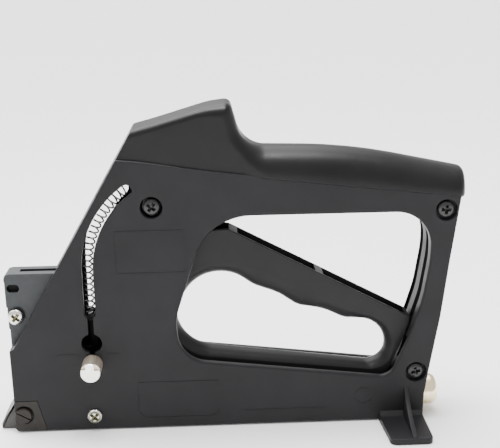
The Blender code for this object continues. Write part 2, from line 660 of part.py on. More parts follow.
def main_spring():
    """The main compression spring between the carriage and its seat."""
    radius, thick, turns, steps = 4.2, 0.75, 15, 10
    start, end = CARRIAGE_X[1] - 2.5 + thick + CLEAR, SEAT_X[0] - thick - CLEAR
    points = []
    for k in range(turns * steps + 1):
        angle = 2 * math.pi * k / steps
        points.append((start + (end - start) * k / (turns * steps), radius * math.cos(angle),
                       DRIVE_Z + radius * math.sin(angle)))
    return finish(wire("main_spring", points, thick), "main_spring", "spring_steel")


def adjuster():
    """The brass force-setting knob, its rod, and the seat it moves along."""
    start = 45.0
    rod_profile = [(0.0, 1.6), (1.0, ROD_R), (46.0, ROD_R), (46.0, 4.0), (48.6, 4.0), (48.6, ROD_R),
                   (56.5, ROD_R)]
    shaft = turned("adjuster_rod", rod_profile, (start, 0.0, DRIVE_Z), (1, 0, 0), segments=16)
    finish(shaft, "adjuster_rod", "steel", (start, 0.0, DRIVE_Z))
    length = ADJUSTER_X[1] - ADJUSTER_X[0]
    knob_profile = [(0.0, 7.6), (0.6, 8.1), (length - 3.4, 8.1), (length - 1.6, 7.5), (length - 0.5, 6.2),
                    (length, 4.6)]
    knob = turned("adjuster_knob", knob_profile, (ADJUSTER_X[0], 0.0, DRIVE_Z), (1, 0, 0))
    cut(knob, rod("knob_bore", (95.0, 0.0, DRIVE_Z), (102.4, 0.0, DRIVE_Z), ROD_R + CLEAR))
    finish(knob, "adjuster_knob", "brass", (ADJUSTER_X[0], 0.0, DRIVE_Z))
    seat = block("spring_seat", SEAT_X, (-6.5, 6.5), (4.0, 17.0))
    cut(seat, rod("seat_bore", (40.0, 0.0, DRIVE_Z), (70.0, 0.0, DRIVE_Z), ROD_R + CLEAR))
    finish(seat, "spring_seat", "steel", (SEAT_X[0], 0.0, DRIVE_Z))


# ---------------------------------------------------------------- follower

def follower():
    """The follower that pushes the points down, with its knob outside the slot."""
    top, arm = FOLLOWER_TOP_Z, 1.9
    outline = [(-105.6, 21.0), (-105.6, 30.0), (-92.0, 41.0), (SLOT_X - arm, 41.0), (SLOT_X - arm, top),
               (SLOT_X + arm, top), (SLOT_X + arm, 34.0), (-88.0, 34.0), (-92.2, 30.0), (-92.2, 21.0)]
    carrier = plate("follower_plate", [[Vector(p) for p in outline],
                                       circle(SLOT_X, KNOB_Z, STEM_R + CLEAR, 12)], -1.2, 1.2)
    join(carrier, block("spring_tab", (SLOT_X - arm + 0.1, SLOT_X + arm - 0.1), (-10.6, 0.9),
                        (top - 1.6, top - 0.1)))
    finish(carrier, "follower_plate", "black_steel", (SLOT_X, 0.0, KNOB_Z))
    shoe = block("follower_shoe", (-105.8, -92.2), (-2.8, 2.8), (7.0, 21.0 - CLEAR))
    finish(shoe, "follower_shoe", "steel", (SLOT_X, 0.0, KNOB_Z))
    stem = rod("follower_stem", (SLOT_X, -16.0, KNOB_Z), (SLOT_X, 1.0, KNOB_Z), STEM_R, segments=12)
    finish(stem, "follower_stem", "steel", (SLOT_X, 0.0, KNOB_Z))
    start = HALF_WIDTH + CLEAR
    profile = [(0.0, 4.7), (0.4, 5.0), (11.0, 5.0), (11.7, 4.3)]
    knob = turned("follower_knob", profile, (SLOT_X, -start, KNOB_Z), (0, -1, 0))
    cut(knob, rod("stem_bore", (SLOT_X, -16.6, KNOB_Z), (SLOT_X, -10.0, KNOB_Z), STEM_R + CLEAR,
                  segments=12))
    cut(knob, block("knob_notch", (SLOT_X - 6.0, SLOT_X + 6.0), (-30.0, -24.6),
                    (KNOB_Z - 0.5, KNOB_Z + 0.5)))
    finish(knob, "follower_knob", "nickel", (SLOT_X, 0.0, KNOB_Z))


def slot_path(distance):
    """A point and a direction along the slot's centre line, from its low end up."""
    straight = SLOT_ARC_Z - SLOT_LOW_Z
    if distance <= straight:
        return Vector((SLOT_X, SLOT_LOW_Z + distance)), Vector((0.0, 1.0))
    turn = (distance - straight) / SLOT_ARC_R
    centre = Vector((SLOT_X + SLOT_ARC_R, SLOT_ARC_Z))
    spoke = Vector((-math.cos(turn), math.sin(turn)))
    return centre + spoke * SLOT_ARC_R, Vector((math.sin(turn), math.cos(turn)))


def follower_spring():
    """The light spring that lies along the curved slot and presses the follower down."""
    radius, thick, pitch, steps = 2.05, 0.3, 3.0, 6
    length = SLOT_ARC_Z - SLOT_LOW_Z + SLOT_ARC_R * SLOT_END_TURN - 1.0
    count = int(length / pitch * steps)
    points = []
    for k in range(count + 1):
        middle, along = slot_path(length * k / count)
        across = Vector((along.y, -along.x))
        angle = 2 * math.pi * k / steps
        spot = middle + across * radius * math.cos(angle)
        points.append((spot.x, FOLLOWER_SPRING_Y + radius * math.sin(angle), spot.y))
    return finish(wire("follower_spring", points, thick), "follower_spring", "spring_steel")


# ---------------------------------------------------------------- build

clear_scene()
PARTS = new_collection("staple_gun")
CUTTERS = new_collection("cutters")
MATERIALS = {
    "housing": make_material("housing_plastic", (0.045, 0.045, 0.048), 0.55, 0.0),
    "trigger": make_material("trigger_plastic", (0.042, 0.042, 0.044), 0.5, 0.0),
    "nose_steel": make_material("nose_steel", (0.075, 0.082, 0.09), 0.4, 0.6),
    "tip_steel": make_material("tip_steel", (0.13, 0.13, 0.13), 0.4, 0.7),
    "cheek_steel": make_material("cheek_steel", (0.08, 0.068, 0.06), 0.45, 0.6),
    "steel": make_material("plain_steel", (0.3, 0.3, 0.31), 0.35, 1.0),
    "bright_steel": make_material("bright_steel", (0.55, 0.55, 0.56), 0.25, 1.0),
    "black_steel": make_material("black_steel", (0.02, 0.02, 0.021), 0.35, 0.5),
    "spring_steel": make_material("spring_steel", (0.09, 0.09, 0.095), 0.35, 0.9),
    "nickel": make_material("nickel", (0.75, 0.7, 0.64), 0.25, 1.0),
    "brass": make_material("brass", (0.8, 0.62, 0.4), 0.25, 1.0),
    "rubber": make_material("rubber", (0.02, 0.02, 0.02), 0.9, 0.0),
}

for half in (-1, 1):
    housing_half(half)
    magazine_plate(half)
    nose_cheek(half)
    cheek_screw(half)
housing_screws()
nose_tip()
trigger_lever()
cocking_pawl()
pins()
trigger_spring()
driver_parts()
driver_track()
driver_bumper()
main_spring()
adjuster()
follower()
follower_spring()
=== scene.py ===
"""Visual model of a hand-squeezed point driver of the staple-gun family.

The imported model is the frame: its bodies carry the pieces made here, and its small inner parts
stay as they are with better materials. Sizes are millimetres in the tool's own measure, X from
its datum line, and every finished mesh is turned into metres in the frame's own place.
"""
import math

import bmesh
import bpy
from mathutils import Matrix, Vector


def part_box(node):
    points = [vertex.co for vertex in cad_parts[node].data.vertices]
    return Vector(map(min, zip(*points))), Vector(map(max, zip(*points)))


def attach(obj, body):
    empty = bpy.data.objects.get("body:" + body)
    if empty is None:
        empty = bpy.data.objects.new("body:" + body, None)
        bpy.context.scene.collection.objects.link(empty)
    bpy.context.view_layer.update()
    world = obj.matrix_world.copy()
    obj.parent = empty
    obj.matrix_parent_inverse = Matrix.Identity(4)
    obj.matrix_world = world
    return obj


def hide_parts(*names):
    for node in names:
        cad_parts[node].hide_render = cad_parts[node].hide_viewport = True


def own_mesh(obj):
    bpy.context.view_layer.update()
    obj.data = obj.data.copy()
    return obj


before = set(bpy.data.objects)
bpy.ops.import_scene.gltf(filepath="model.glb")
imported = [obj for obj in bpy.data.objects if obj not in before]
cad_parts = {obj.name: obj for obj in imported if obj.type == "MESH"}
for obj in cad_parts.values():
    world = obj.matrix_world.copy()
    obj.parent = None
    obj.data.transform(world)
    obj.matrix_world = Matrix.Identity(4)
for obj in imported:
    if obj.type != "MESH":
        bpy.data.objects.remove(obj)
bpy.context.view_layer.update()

MM = 0.001
HALF_WIDTH = 13.5                # parting plane to the flat side of the housing
PARTING = 0.005                  # each half stops this far from the parting plane
BASE_Z = 0.6
FRONT_X = -112.3
GRIP_END_X = 114.7
SHIFT_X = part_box("housing_near")[0].x / MM - FRONT_X
TO_MODEL = Matrix.Scale(MM, 4) @ Matrix.Translation((SHIFT_X, 0, 0))

SLOPE_LOW = (-110.2, 46.1)
SLOPE_HIGH = (-47.1, 154.7)
PIVOT = (-30.0, 85.0)
PAWL_PIN = (-38.0, 22.0)
TRIGGER_REACH = 124.6
TRIGGER_HALF = 6.25
DRIVE_Z = 10.5
SLOT_X = -71.3
SLOT_ARC_Z = 86.0
SLOT_ARC_R = 50.0
KNOB_Z = 37.5
KEYHOLE_Z = 48.0
BODY_SCREW = (-38.9, 117.8)
GRIP_SCREW = (104.5, 113.2)
STRUT_SCREW = (92.9, 26.9)
BASE_SCREW = (-72.0, 8.3)
MAGAZINE_SCREW = (-109.2, 60.4)
CHEEK_SCREW = (-107.8, 9.7)

# Opening of the grip where its rounded lip ends, corners as (x, z, corner radius)
OPENING = [
    (-12.8, 113.7, 30), (98.9, 113.7, 19), (98.9, 88.0, 60), (95.9, 67.0, 60),
    (90.3, 47.5, 60), (80.3, 23.3, 9), (-28.6, 36.7, 17), (-30.3, 60.0, 30),
]
# Finger hole of the trigger, corners as (x, z, corner radius): its line at mid-width, and the line
# on the trigger's sides where its rounding ends, corner for corner
FINGER_MIDDLE = [
    (-29.0, 42.2, 20), (-29.0, 63.2, 7), (-17.4, 80.2, 20), (0.0, 80.2, 20), (10.4, 72.5, 20),
    (22.8, 67.9, 30), (33.0, 60.7, 14), (45.3, 58.8, 34), (57.4, 52.9, 12), (78.3, 53.2, 14.5),
    (78.3, 27.5, 9.5),
]
FINGER_SIDE = [
    (-30.2, 39.4, 20), (-30.2, 67.0, 18), (-17.6, 86.0, 20), (2.8, 86.0, 38), (12.2, 81.9, 10),
    (24.2, 76.4, 10), (33.7, 71.6, 10), (46.6, 65.4, 10), (58.3, 59.9, 10), (82.3, 51.7, 17.5),
    (82.4, 25.4, 12),
]
# Top line of the hump and the grip, corners as (x, z, corner radius)
TOP_LINE = [
    (-68.0, 149.2, 0), (-35.0, 158.0, 200), (-10.0, 165.4, 40), (-0.1, 167.1, 3.5), (5.9, 145.3, 13),
    (57.6, 144.0, 260), (114.2, 131.9, 2.5), (GRIP_END_X, 121.8, 0),
]
TOP_STEP = 0.8                   # longest distance between two points of the top line
# Crease between the flat side and the hump and grip
CREASE_LINE = [
    (-118.0, 141.6), (-53.5, 141.4), (-15.0, 135.8), (32.5, 129.7), (81.0, 124.0), (111.5, 120.6),
]


# ---------------------------------------------------------------- outlines

def rounded(corners, steps=8):
    """Points of a polygon whose corners (x, z, radius) are rounded by arcs of equal steps."""
    points = []
    count = len(corners)
    for index, (x, z, radius) in enumerate(corners):
        here = Vector((x, z))
        if radius <= 0:
            points.append(here)
            continue
        back = (Vector(corners[index - 1][:2]) - here).normalized()
        ahead = (Vector(corners[(index + 1) % count][:2]) - here).normalized()
        half = back.angle(ahead) / 2
        centre = here + (back + ahead).normalized() * radius / math.sin(half)
        spoke = here + back * radius / math.tan(half) - centre
        last = here + ahead * radius / math.tan(half) - centre
        start = math.atan2(spoke.y, spoke.x)
        turn = math.atan2(last.y, last.x) - start
        turn = (turn + math.pi) % (2 * math.pi) - math.pi
        for step in range(steps + 1):
            angle = start + turn * step / steps
            points.append(centre + Vector((math.cos(angle), math.sin(angle))) * radius)
    return points


def circle(x, z, radius, segments=40):
    return [Vector((x + radius * math.cos(2 * math.pi * k / segments),
                    z + radius * math.sin(2 * math.pi * k / segments))) for k in range(segments)]


def polygon(*points):
    return [Vector(point) for point in points]


def spline(points, per_span):
    """A smooth line through (x, z) points, with centripetal spacing so that it doesn't overshoot."""
    known = [Vector(point) for point in points]
    known = [2 * known[0] - known[1]] + known + [2 * known[-1] - known[-2]]
    line = []
    for a, b, c, d in zip(known, known[1:], known[2:], known[3:]):
        t1 = math.sqrt((b - a).length)
        t2 = t1 + math.sqrt((c - b).length)
        t3 = t2 + math.sqrt((d - c).length)
        for k in range(per_span):
            t = t1 + (t2 - t1) * k / per_span
            p = a * (t1 - t) / t1 + b * t / t1
            q = b * (t2 - t) / (t2 - t1) + c * (t - t1) / (t2 - t1)
            r = c * (t3 - t) / (t3 - t2) + d * (t - t2) / (t3 - t2)
            s = p * (t2 - t) / t2 + q * t / t2
            u = q * (t3 - t) / (t3 - t1) + r * (t - t1) / (t3 - t1)
            line.append(s * (t2 - t) / (t2 - t1) + u * (t - t1) / (t2 - t1))
    line.append(known[-2].copy())
    return line


def top_line():
    """The top line, with points on its straight stretches too, which the rolled rounding needs."""
    corners = rounded(TOP_LINE, 24)
    line = corners[:1]
    for a, b in zip(corners, corners[1:]):
        parts = max(1, math.ceil((b - a).length / TOP_STEP))
        line += [a.lerp(b, k / parts) for k in range(1, parts + 1)]
    return line


def line_height(line, x):
    for a, b in zip(line, line[1:]):
        if x <= b[0]:
            return a[1] + (b[1] - a[1]) * (x - a[0]) / (b[0] - a[0])
    return line[-1][1]


def slope_x(z):
    (x0, z0), (x1, z1) = SLOPE_LOW, SLOPE_HIGH
    return x0 + (x1 - x0) * (z - z0) / (z1 - z0)


def anticlockwise(outline):
    area = sum(a.x * b.y - b.x * a.y for a, b in zip(outline, outline[1:] + outline[:1]))
    return outline if area > 0 else outline[::-1]


def inset(outline, distances):
    """The outline moved inwards, by one distance or by one for each point."""
    count = len(outline)
    if isinstance(distances, (int, float)):
        distances = [distances] * count
    moved = []
    for index, point in enumerate(outline):
        back = (point - outline[index - 1]).normalized()
        ahead = (outline[(index + 1) % count] - point).normalized()
        side = Vector((-back.y, back.x)) + Vector((-ahead.y, ahead.x))
        if side.length < 1e-6:
            side = Vector((-back.y, back.x))
        side.normalize()
        spread = max(0.5, side.dot(Vector((-back.y, back.x))))
        moved.append(point + side * distances[index] / spread)
    return moved


# ---------------------------------------------------------------- solids

def object_from(name, shape):
    """A scene object from a bmesh, with its faces made to point out."""
    bmesh.ops.remove_doubles(shape, verts=shape.verts, dist=1e-4)
    bmesh.ops.recalc_face_normals(shape, faces=shape.faces)
    mesh = bpy.data.meshes.new(name)
    shape.to_mesh(mesh)
    shape.free()
    piece = bpy.data.objects.new(name, mesh)
    bpy.context.scene.collection.objects.link(piece)
    return piece


def skin(name, rings, closed=True):
    """A closed solid through a row of rings that have the same number of points."""
    shape = bmesh.new()
    rows = [[shape.verts.new(point) for point in ring] for ring in rings]
    count = len(rows[0])
    for row, after in zip(rows, rows[1:]):
        for k in range(count):
            nxt = (k + 1) % count
            shape.faces.new((row[k], row[nxt], after[nxt], after[k]))
    if closed:
        shape.faces.new(rows[0])
        shape.faces.new(rows[-1])
    return object_from(name, shape)


def stand(outline, across, axis="Y"):
    """An outline put in space at a place along one axis."""
    if axis == "Y":
        return [Vector((p.x, across, p.y)) for p in outline]
    if axis == "X":
        return [Vector((across, p.x, p.y)) for p in outline]
    return [Vector((p.x, p.y, across)) for p in outline]


def prism(name, outline, low, high, rim_low=0.0, rim_high=0.0, steps=3, axis="Y"):
    """A straight solid with its outline rounded over at either end."""
    outline = anticlockwise(outline)
    rings = []
    for end, rim, way in ((low, rim_low, 1), (high, rim_high, -1)):
        rows = []
        if rim:
            for k in range(steps + 1):
                turn = math.pi / 2 * k / steps
                rows.append(stand(inset(outline, rim * (1 - math.sin(turn))),
                                  end + way * rim * (1 - math.cos(turn)), axis))
        else:
            rows.append(stand(outline, end, axis))
        rings += rows if way > 0 else rows[::-1]
    return skin(name, rings)


def flared(name, outline, side, inner, lip, face=HALF_WIDTH, steps=4):
    """A cutter for a hole through one side, which leaves the hole's edge rounded by lip."""
    outline = anticlockwise(outline)
    rings = [stand(outline, side * inner)]
    for k in range(steps, -1, -1):
        turn = math.radians(7 + 83 * k / steps)
        rings.append(stand(inset(outline, -lip * (1 - math.sin(turn))),
                           side * (face - lip * (1 - math.cos(turn)))))
    rings.append([point + Vector((0, side * 3.0, 0)) for point in rings[-1]])
    return skin(name, rings)


def turned(name, profile, start, direction, segments=40):
    """A turned solid: (distance along the axis, radius) about an axis."""
    place = Matrix.Translation(start) @ Vector(direction).to_track_quat("Z", "Y").to_matrix().to_4x4()
    rings = [[place @ Vector((radius * math.cos(2 * math.pi * k / segments),
                              radius * math.sin(2 * math.pi * k / segments), along))
              for k in range(segments)] for along, radius in profile]
    return skin(name, rings)


def rod(name, start, end, radius, segments=32):
    way = Vector(end) - Vector(start)
    return turned(name, [(0.0, radius), (way.length, radius)], start, way, segments)


def block(name, x, y, z):
    y = sorted(y)
    outline = polygon((x[0], z[0]), (x[1], z[0]), (x[1], z[1]), (x[0], z[1]))
    return prism(name, outline, y[0], y[1])


def tube(name, path, radius, sides=10):
    """A round wire along a path, as a closed mesh with domed ends."""
    rings = []
    count = len(path)
    normal = None
    for k, point in enumerate(path):
        along = (path[min(count - 1, k + 1)] - path[max(0, k - 1)]).normalized()
        if normal is None:
            normal = along.orthogonal().normalized()
        normal = (normal - along * normal.dot(along)).normalized()
        binormal = along.cross(normal)
        ring = [point + (normal * math.cos(2 * math.pi * s / sides)
                         + binormal * math.sin(2 * math.pi * s / sides)) * radius for s in range(sides)]
        if k == 0:
            rings.append([point - along * radius * 0.5 + (p - point) * 0.5 for p in ring])
        rings.append(ring)
        if k == count - 1:
            rings.append([point + along * radius * 0.5 + (p - point) * 0.5 for p in ring])
    return skin(name, rings)


def carve(piece, *steps):
    """Booleans in order, each ("cut" or "join", tool), applied to the piece's mesh."""
    words = {"cut": "DIFFERENCE", "join": "UNION", "keep": "INTERSECT"}
    for word, tool in steps:
        step = piece.modifiers.new("carve", "BOOLEAN")
        step.operation = words[word]
        step.solver = "EXACT"
        step.object = tool
    bpy.context.view_layer.update()
    result = bpy.data.meshes.new_from_object(piece.evaluated_get(bpy.context.evaluated_depsgraph_get()))
    piece.modifiers.clear()
    before = piece.data
    piece.data = result
    bpy.data.meshes.remove(before)
    for _, tool in steps:
        bpy.data.objects.remove(tool, do_unlink=True)
    return piece


def settle(piece, name, body, material, nodes=(), sharp=32):
    """Puts a finished piece in the frame: metres, shading, material, body, and what it stands for."""
    piece.name = name
    piece.data.name = name
    piece.data.transform(TO_MODEL)
    piece.data.materials.clear()
    piece.data.materials.append(material)
    piece.data.shade_smooth()
    piece.data.set_sharp_from_angle(angle=math.radians(sharp))
    weigh = piece.modifiers.new("weighted", "WEIGHTED_NORMAL")
    weigh.keep_sharp = True
    weigh.weight = 70
    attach(piece, body)
    if nodes:
        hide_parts(*nodes)
    return piece


# ---------------------------------------------------------------- materials

def shader_of(name):
    material = bpy.data.materials.new(name)
    material.use_nodes = True
    tree = material.node_tree
    return material, tree, tree.nodes["Principled BSDF"]


def noise(tree, coordinates, scale, detail=2.0, stretch=(1, 1, 1)):
    mapping = tree.nodes.new("ShaderNodeMapping")
    mapping.inputs["Scale"].default_value = stretch
    tree.links.new(coordinates, mapping.inputs["Vector"])
    texture = tree.nodes.new("ShaderNodeTexNoise")
    texture.inputs["Scale"].default_value = scale
    texture.inputs["Detail"].default_value = detail
    tree.links.new(mapping.outputs["Vector"], texture.inputs["Vector"])
    return texture.outputs["Fac"]


def spread(tree, source, low, high):
    """A value stretched from the middle of a noise to between low and high."""
    node = tree.nodes.new("ShaderNodeMapRange")
    node.inputs["From Min"].default_value = 0.3
    node.inputs["From Max"].default_value = 0.7
    node.inputs["To Min"].default_value = low
    node.inputs["To Max"].default_value = high
    tree.links.new(source, node.inputs["Value"])
    return node.outputs["Result"]


def tinted(tree, source, dark, light):
    node = tree.nodes.new("ShaderNodeValToRGB")
    node.color_ramp.elements[0].position = 0.3
    node.color_ramp.elements[0].color = (*dark, 1)
    node.color_ramp.elements[1].position = 0.7
    node.color_ramp.elements[1].color = (*light, 1)
    tree.links.new(source, node.inputs["Fac"])
    return node.outputs["Color"]


def bumped(tree, shader, source, depth, strength=1.0, before=None):
    node = tree.nodes.new("ShaderNodeBump")
    node.inputs["Distance"].default_value = depth
    node.inputs["Strength"].default_value = strength
    tree.links.new(source, node.inputs["Height"])
    if before is not None:
        tree.links.new(before, node.inputs["Normal"])
    tree.links.new(node.outputs["Normal"], shader.inputs["Normal"])
    return node.outputs["Normal"]


def plastic(name, dark, light, roughness, shine=0.22, grain=0.00002):
    """Moulded plastic with a fine spark-eroded grain and faint handling marks."""
    material, tree, shader = shader_of(name)
    place = tree.nodes.new("ShaderNodeTexCoord").outputs["Object"]
    cloudy = noise(tree, place, 45, 4)
    tree.links.new(tinted(tree, cloudy, dark, light), shader.inputs["Base Color"])
    tree.links.new(spread(tree, noise(tree, place, 160, 3), *roughness), shader.inputs["Roughness"])
    shader.inputs["Specular IOR Level"].default_value = shine
    fine = bumped(tree, shader, noise(tree, place, 2600, 2), grain)
    bumped(tree, shader, noise(tree, place, 420, 2), grain * 1.6, 1.0, fine)
    return material


def metal(name, dark, light, roughness, lines=(1, 1, 1), depth=0.000006):
    """Metal with fine machining lines, long where lines is small."""
    material, tree, shader = shader_of(name)
    place = tree.nodes.new("ShaderNodeTexCoord").outputs["Object"]
    tree.links.new(tinted(tree, noise(tree, place, 110, 4), dark, light), shader.inputs["Base Color"])
    tree.links.new(spread(tree, noise(tree, place, 900, 3, lines), *roughness), shader.inputs["Roughness"])
    shader.inputs["Metallic"].default_value = 1.0
    bumped(tree, shader, noise(tree, place, 2400, 2, lines), depth)
    return material


def coated(name, dark, light, roughness, metallic, shine=0.5, depth=0.00001):
    """Blued or painted steel: a dark coat with a slight mottle."""
    material, tree, shader = shader_of(name)
    place = tree.nodes.new("ShaderNodeTexCoord").outputs["Object"]
    tree.links.new(tinted(tree, noise(tree, place, 260, 5), dark, light), shader.inputs["Base Color"])
    tree.links.new(spread(tree, noise(tree, place, 700, 3), *roughness), shader.inputs["Roughness"])
    shader.inputs["Metallic"].default_value = metallic
    shader.inputs["Specular IOR Level"].default_value = shine
    bumped(tree, shader, noise(tree, place, 1500, 3), depth)
    return material


HOUSING = plastic("housing_plastic", (0.0125, 0.0123, 0.0135), (0.0155, 0.015, 0.0165), (0.40, 0.50), 0.14)
# The hump's and grip's plastic is the same plastic as the housing, with its colour painted darker as shade
# for their sides
GRIP_SHADE_PLASTIC = plastic("grip_plastic_shaded", (0.004, 0.0039, 0.0043), (0.0065, 0.0062, 0.0068), (0.33, 0.40), 0.2)
TRIGGER = plastic("trigger_plastic", (0.0115, 0.0115, 0.0125), (0.015, 0.015, 0.016), (0.34, 0.44), 0.15)
NOSE_STEEL = coated("nose_steel", (0.022, 0.025, 0.027), (0.030, 0.033, 0.036), (0.30, 0.42), 0.15, 0.36)
TIP_STEEL = coated("tip_steel", (0.032, 0.030, 0.029), (0.055, 0.051, 0.048), (0.34, 0.5), 0.3, 0.4)
CHEEK_STEEL = coated("cheek_steel", (0.014, 0.0122, 0.0105), (0.022, 0.019, 0.016), (0.38, 0.52), 0.0, 0.2)
BLACK_STEEL = coated("black_steel", (0.010, 0.010, 0.010), (0.018, 0.018, 0.018), (0.26, 0.38), 0.2)
PLAIN_STEEL = metal("plain_steel", (0.26, 0.26, 0.27), (0.36, 0.36, 0.37), (0.28, 0.42))
BRIGHT_STEEL = metal("bright_steel", (0.5, 0.5, 0.51), (0.62, 0.62, 0.62), (0.18, 0.3), (0.08, 1, 1))
SPRING_STEEL = metal("spring_steel", (0.07, 0.07, 0.075), (0.15, 0.15, 0.15), (0.2, 0.3))
NICKEL = metal("nickel", (0.72, 0.69, 0.65), (0.86, 0.84, 0.80), (0.16, 0.28), (1, 0.1, 1))
# Darker olive metal for the cross recesses of the nickel screws: painted shade in the recess
RECESS_SHADE = metal("driver_recess_shade", (0.16, 0.16, 0.10), (0.34, 0.33, 0.22), (0.35, 0.5))
# Polished metal for the follower knob's end face, painted near white as a highlight
POLISHED_HIGHLIGHT = metal("polished_end_highlight", (0.96, 0.93, 0.88), (0.98, 0.97, 0.94), (0.3, 0.4), (1, 1, 1))
BRUSHED = metal("brushed_nickel", (0.48, 0.39, 0.30), (0.74, 0.65, 0.55), (0.42, 0.56), (1, 0.06, 1), 0.00001)
BRASS = metal("brass", (0.92, 0.76, 0.50), (0.98, 0.86, 0.62), (0.16, 0.28), (0.1, 1, 1))
# Near-black matte steel: painted shade, at the bottom of the nose's dimple and on the follower plate seen
# through the slot
SHADE_BLACK = coated("shade_black_steel", (0.005, 0.005, 0.005), (0.009, 0.009, 0.009), (0.6, 0.75), 0.0, 0.12)
RUBBER = coated("rubber", (0.012, 0.012, 0.012), (0.02, 0.02, 0.02), (0.8, 0.95), 0.0)


# ---------------------------------------------------------------- housing

def stations(*spans):
    """Places along X, with a step of its own in each span (start, end, step)."""
    places = []
    for start, end, step in spans:
        count = max(1, round((end - start) / step))
        places += [start + (end - start) * k / count for k in range(count)]
    return places + [spans[-1][1]]


def rolled(line, x, depth):
    """Height of the line at x once a ball has rolled along it from below, depth away."""
    lowest = line_height(line, x) - depth
    for point in line:
        gap = abs(point.x - x)
        if gap < depth:
            lowest = min(lowest, point.y - math.sqrt(depth * depth - gap * gap))
    return lowest


def crown_sections():
    """Sections of the hump and the grip, from the top line down to the crease, for one side."""
    top = top_line()
    crease = spline(CREASE_LINE, 8)
    sections = []
    for x in stations((-68.0, -12.0, 3.5), (-12.0, -5.0, 0.7), (-5.0, 8.0, 0.34), (8.0, 20.0, 0.8),
                      (20.0, 100.0, 2.5), (100.0, 108.0, 0.9), (108.0, GRIP_END_X, 0.3)):
        grip = min(1.0, max(0.0, (x - 3.0) / 15.0))
        grip = grip * grip * (3 - 2 * grip)
        tail = min(1.0, max(0.0, (x - 107.5) / (GRIP_END_X - 107.5)))
        ledge = min(1.0, max(0.0, (x + 40.0) / 30.0))
        width = (11.8 + 0.65 * ledge + 2.0 * grip) * max(0.45, (1 - tail ** 3.2) ** (1 / 3.2))
        bulge = min(1.0, max(0.0, (x + 17.0) / 18.0))
        edge = 3.2 + 3.4 * bulge * bulge * (3 - 2 * bulge)
        low = line_height(crease, x) - 0.5 + 0.4 * grip
        reach = min(edge + (width - edge) * grip, width - 0.5)
        drop = edge + (line_height(top, x) - low - 0.6 - edge) * grip
        section = [(-1.0, line_height(top, x))]
        steps = 16
        for k in range(steps + 1):
            angle = math.pi / 2 * k / steps
            depth = drop * (1 - math.cos(angle))
            height = rolled(top, x, depth) if x < 103.0 else line_height(top, x) - depth
            across = width - reach + reach * math.sin(angle)
            section.append((across, max(height, low + 0.03 * (steps - k + 4))))
        last = section[-1][1]
        section += [(width, low + (last - low) * part) for part in (0.66, 0.33, 0.0)]
        section += [(min(12.0, width - 0.8), low - 2.0 + 1.3 * tail), (-1.0, low - 2.0 + 1.3 * tail)]
        sections.append((x, section))
    return sections


def crown(side):
    """The hump and the rounded grip above the crease."""
    return skin("crown", [[Vector((x, side * y, z)) for y, z in section] for x, section in CROWN])


def foot(side):
    """A foot flange with its gusset and the small fillet where it meets the wall."""
    flange = prism("flange", rounded([
        (74.3, side * 12.0, 0), (76.1, side * 39.2, 3), (97.4, side * 39.2, 3),
        (97.3, side * 12.0, 0)], 6), 0.0, 3.2, 0.3, 0.6, axis="Z")
    curve = [(12.5, 2.2), (12.5, 18.8), (13.6, 18.4), (15.0, 17.0), (17.5, 14.2), (21.0, 11.2),
             (25.5, 8.4), (30.5, 6.2), (35.5, 4.6), (38.4, 3.6), (38.4, 2.2)]
    gusset = prism("gusset", [Vector((side * y, z)) for y, z in curve], 87.0, 89.3, 0.45, 0.45, axis="X")
    fillet = prism("fillet", [Vector((side * 12.0, 2.6)), Vector((side * 16.0, 2.6)),
                              Vector((side * 15.6, 3.3)), Vector((side * 13.6, 5.3)),
                              Vector((side * 12.0, 5.8))], 75.0, 96.8, axis="X")
    return carve(flange, ("join", fillet), ("join", gusset))


def slot_outline(low, arc_r, half, end_turn, steps=22):
    """A curved slot: a straight run up from low, then an arc to its rounded end."""
    centre_x = SLOT_X + SLOT_ARC_R
    turns = [end_turn * k / steps for k in range(steps + 1)]
    outer = [Vector((centre_x - (arc_r + half) * math.cos(t), SLOT_ARC_Z + (arc_r + half) * math.sin(t)))
             for t in turns]
    inner = [Vector((centre_x - (arc_r - half) * math.cos(t), SLOT_ARC_Z + (arc_r - half) * math.sin(t)))
             for t in turns]
    along = Vector((math.sin(end_turn), math.cos(end_turn)))
    middle = (outer[-1] + inner[-1]) / 2
    across = (outer[-1] - middle).normalized()
    cap = [middle + across * half * math.cos(a) + along * half * math.sin(a)
           for a in (math.radians(d) for d in range(20, 180, 20))]
    return ([Vector((outer[0].x, low + 1.2)), Vector((outer[0].x + 1.2, low))]
            + [Vector((inner[0].x - 1.2, low)), Vector((inner[0].x, low + 1.2))]
            + inner + cap[::-1] + outer[::-1])


def frame_strip(name, outer, width, side, height):
    """A thin raised border, as a ring of one outline."""
    strip = prism(name, outer, *sorted((side * (HALF_WIDTH - 0.4), side * (HALF_WIDTH + height))))
    hollow = prism(name, inset(anticlockwise(outer), width), *sorted((side * 12.0, side * 16.0)))
    return carve(strip, ("cut", hollow))


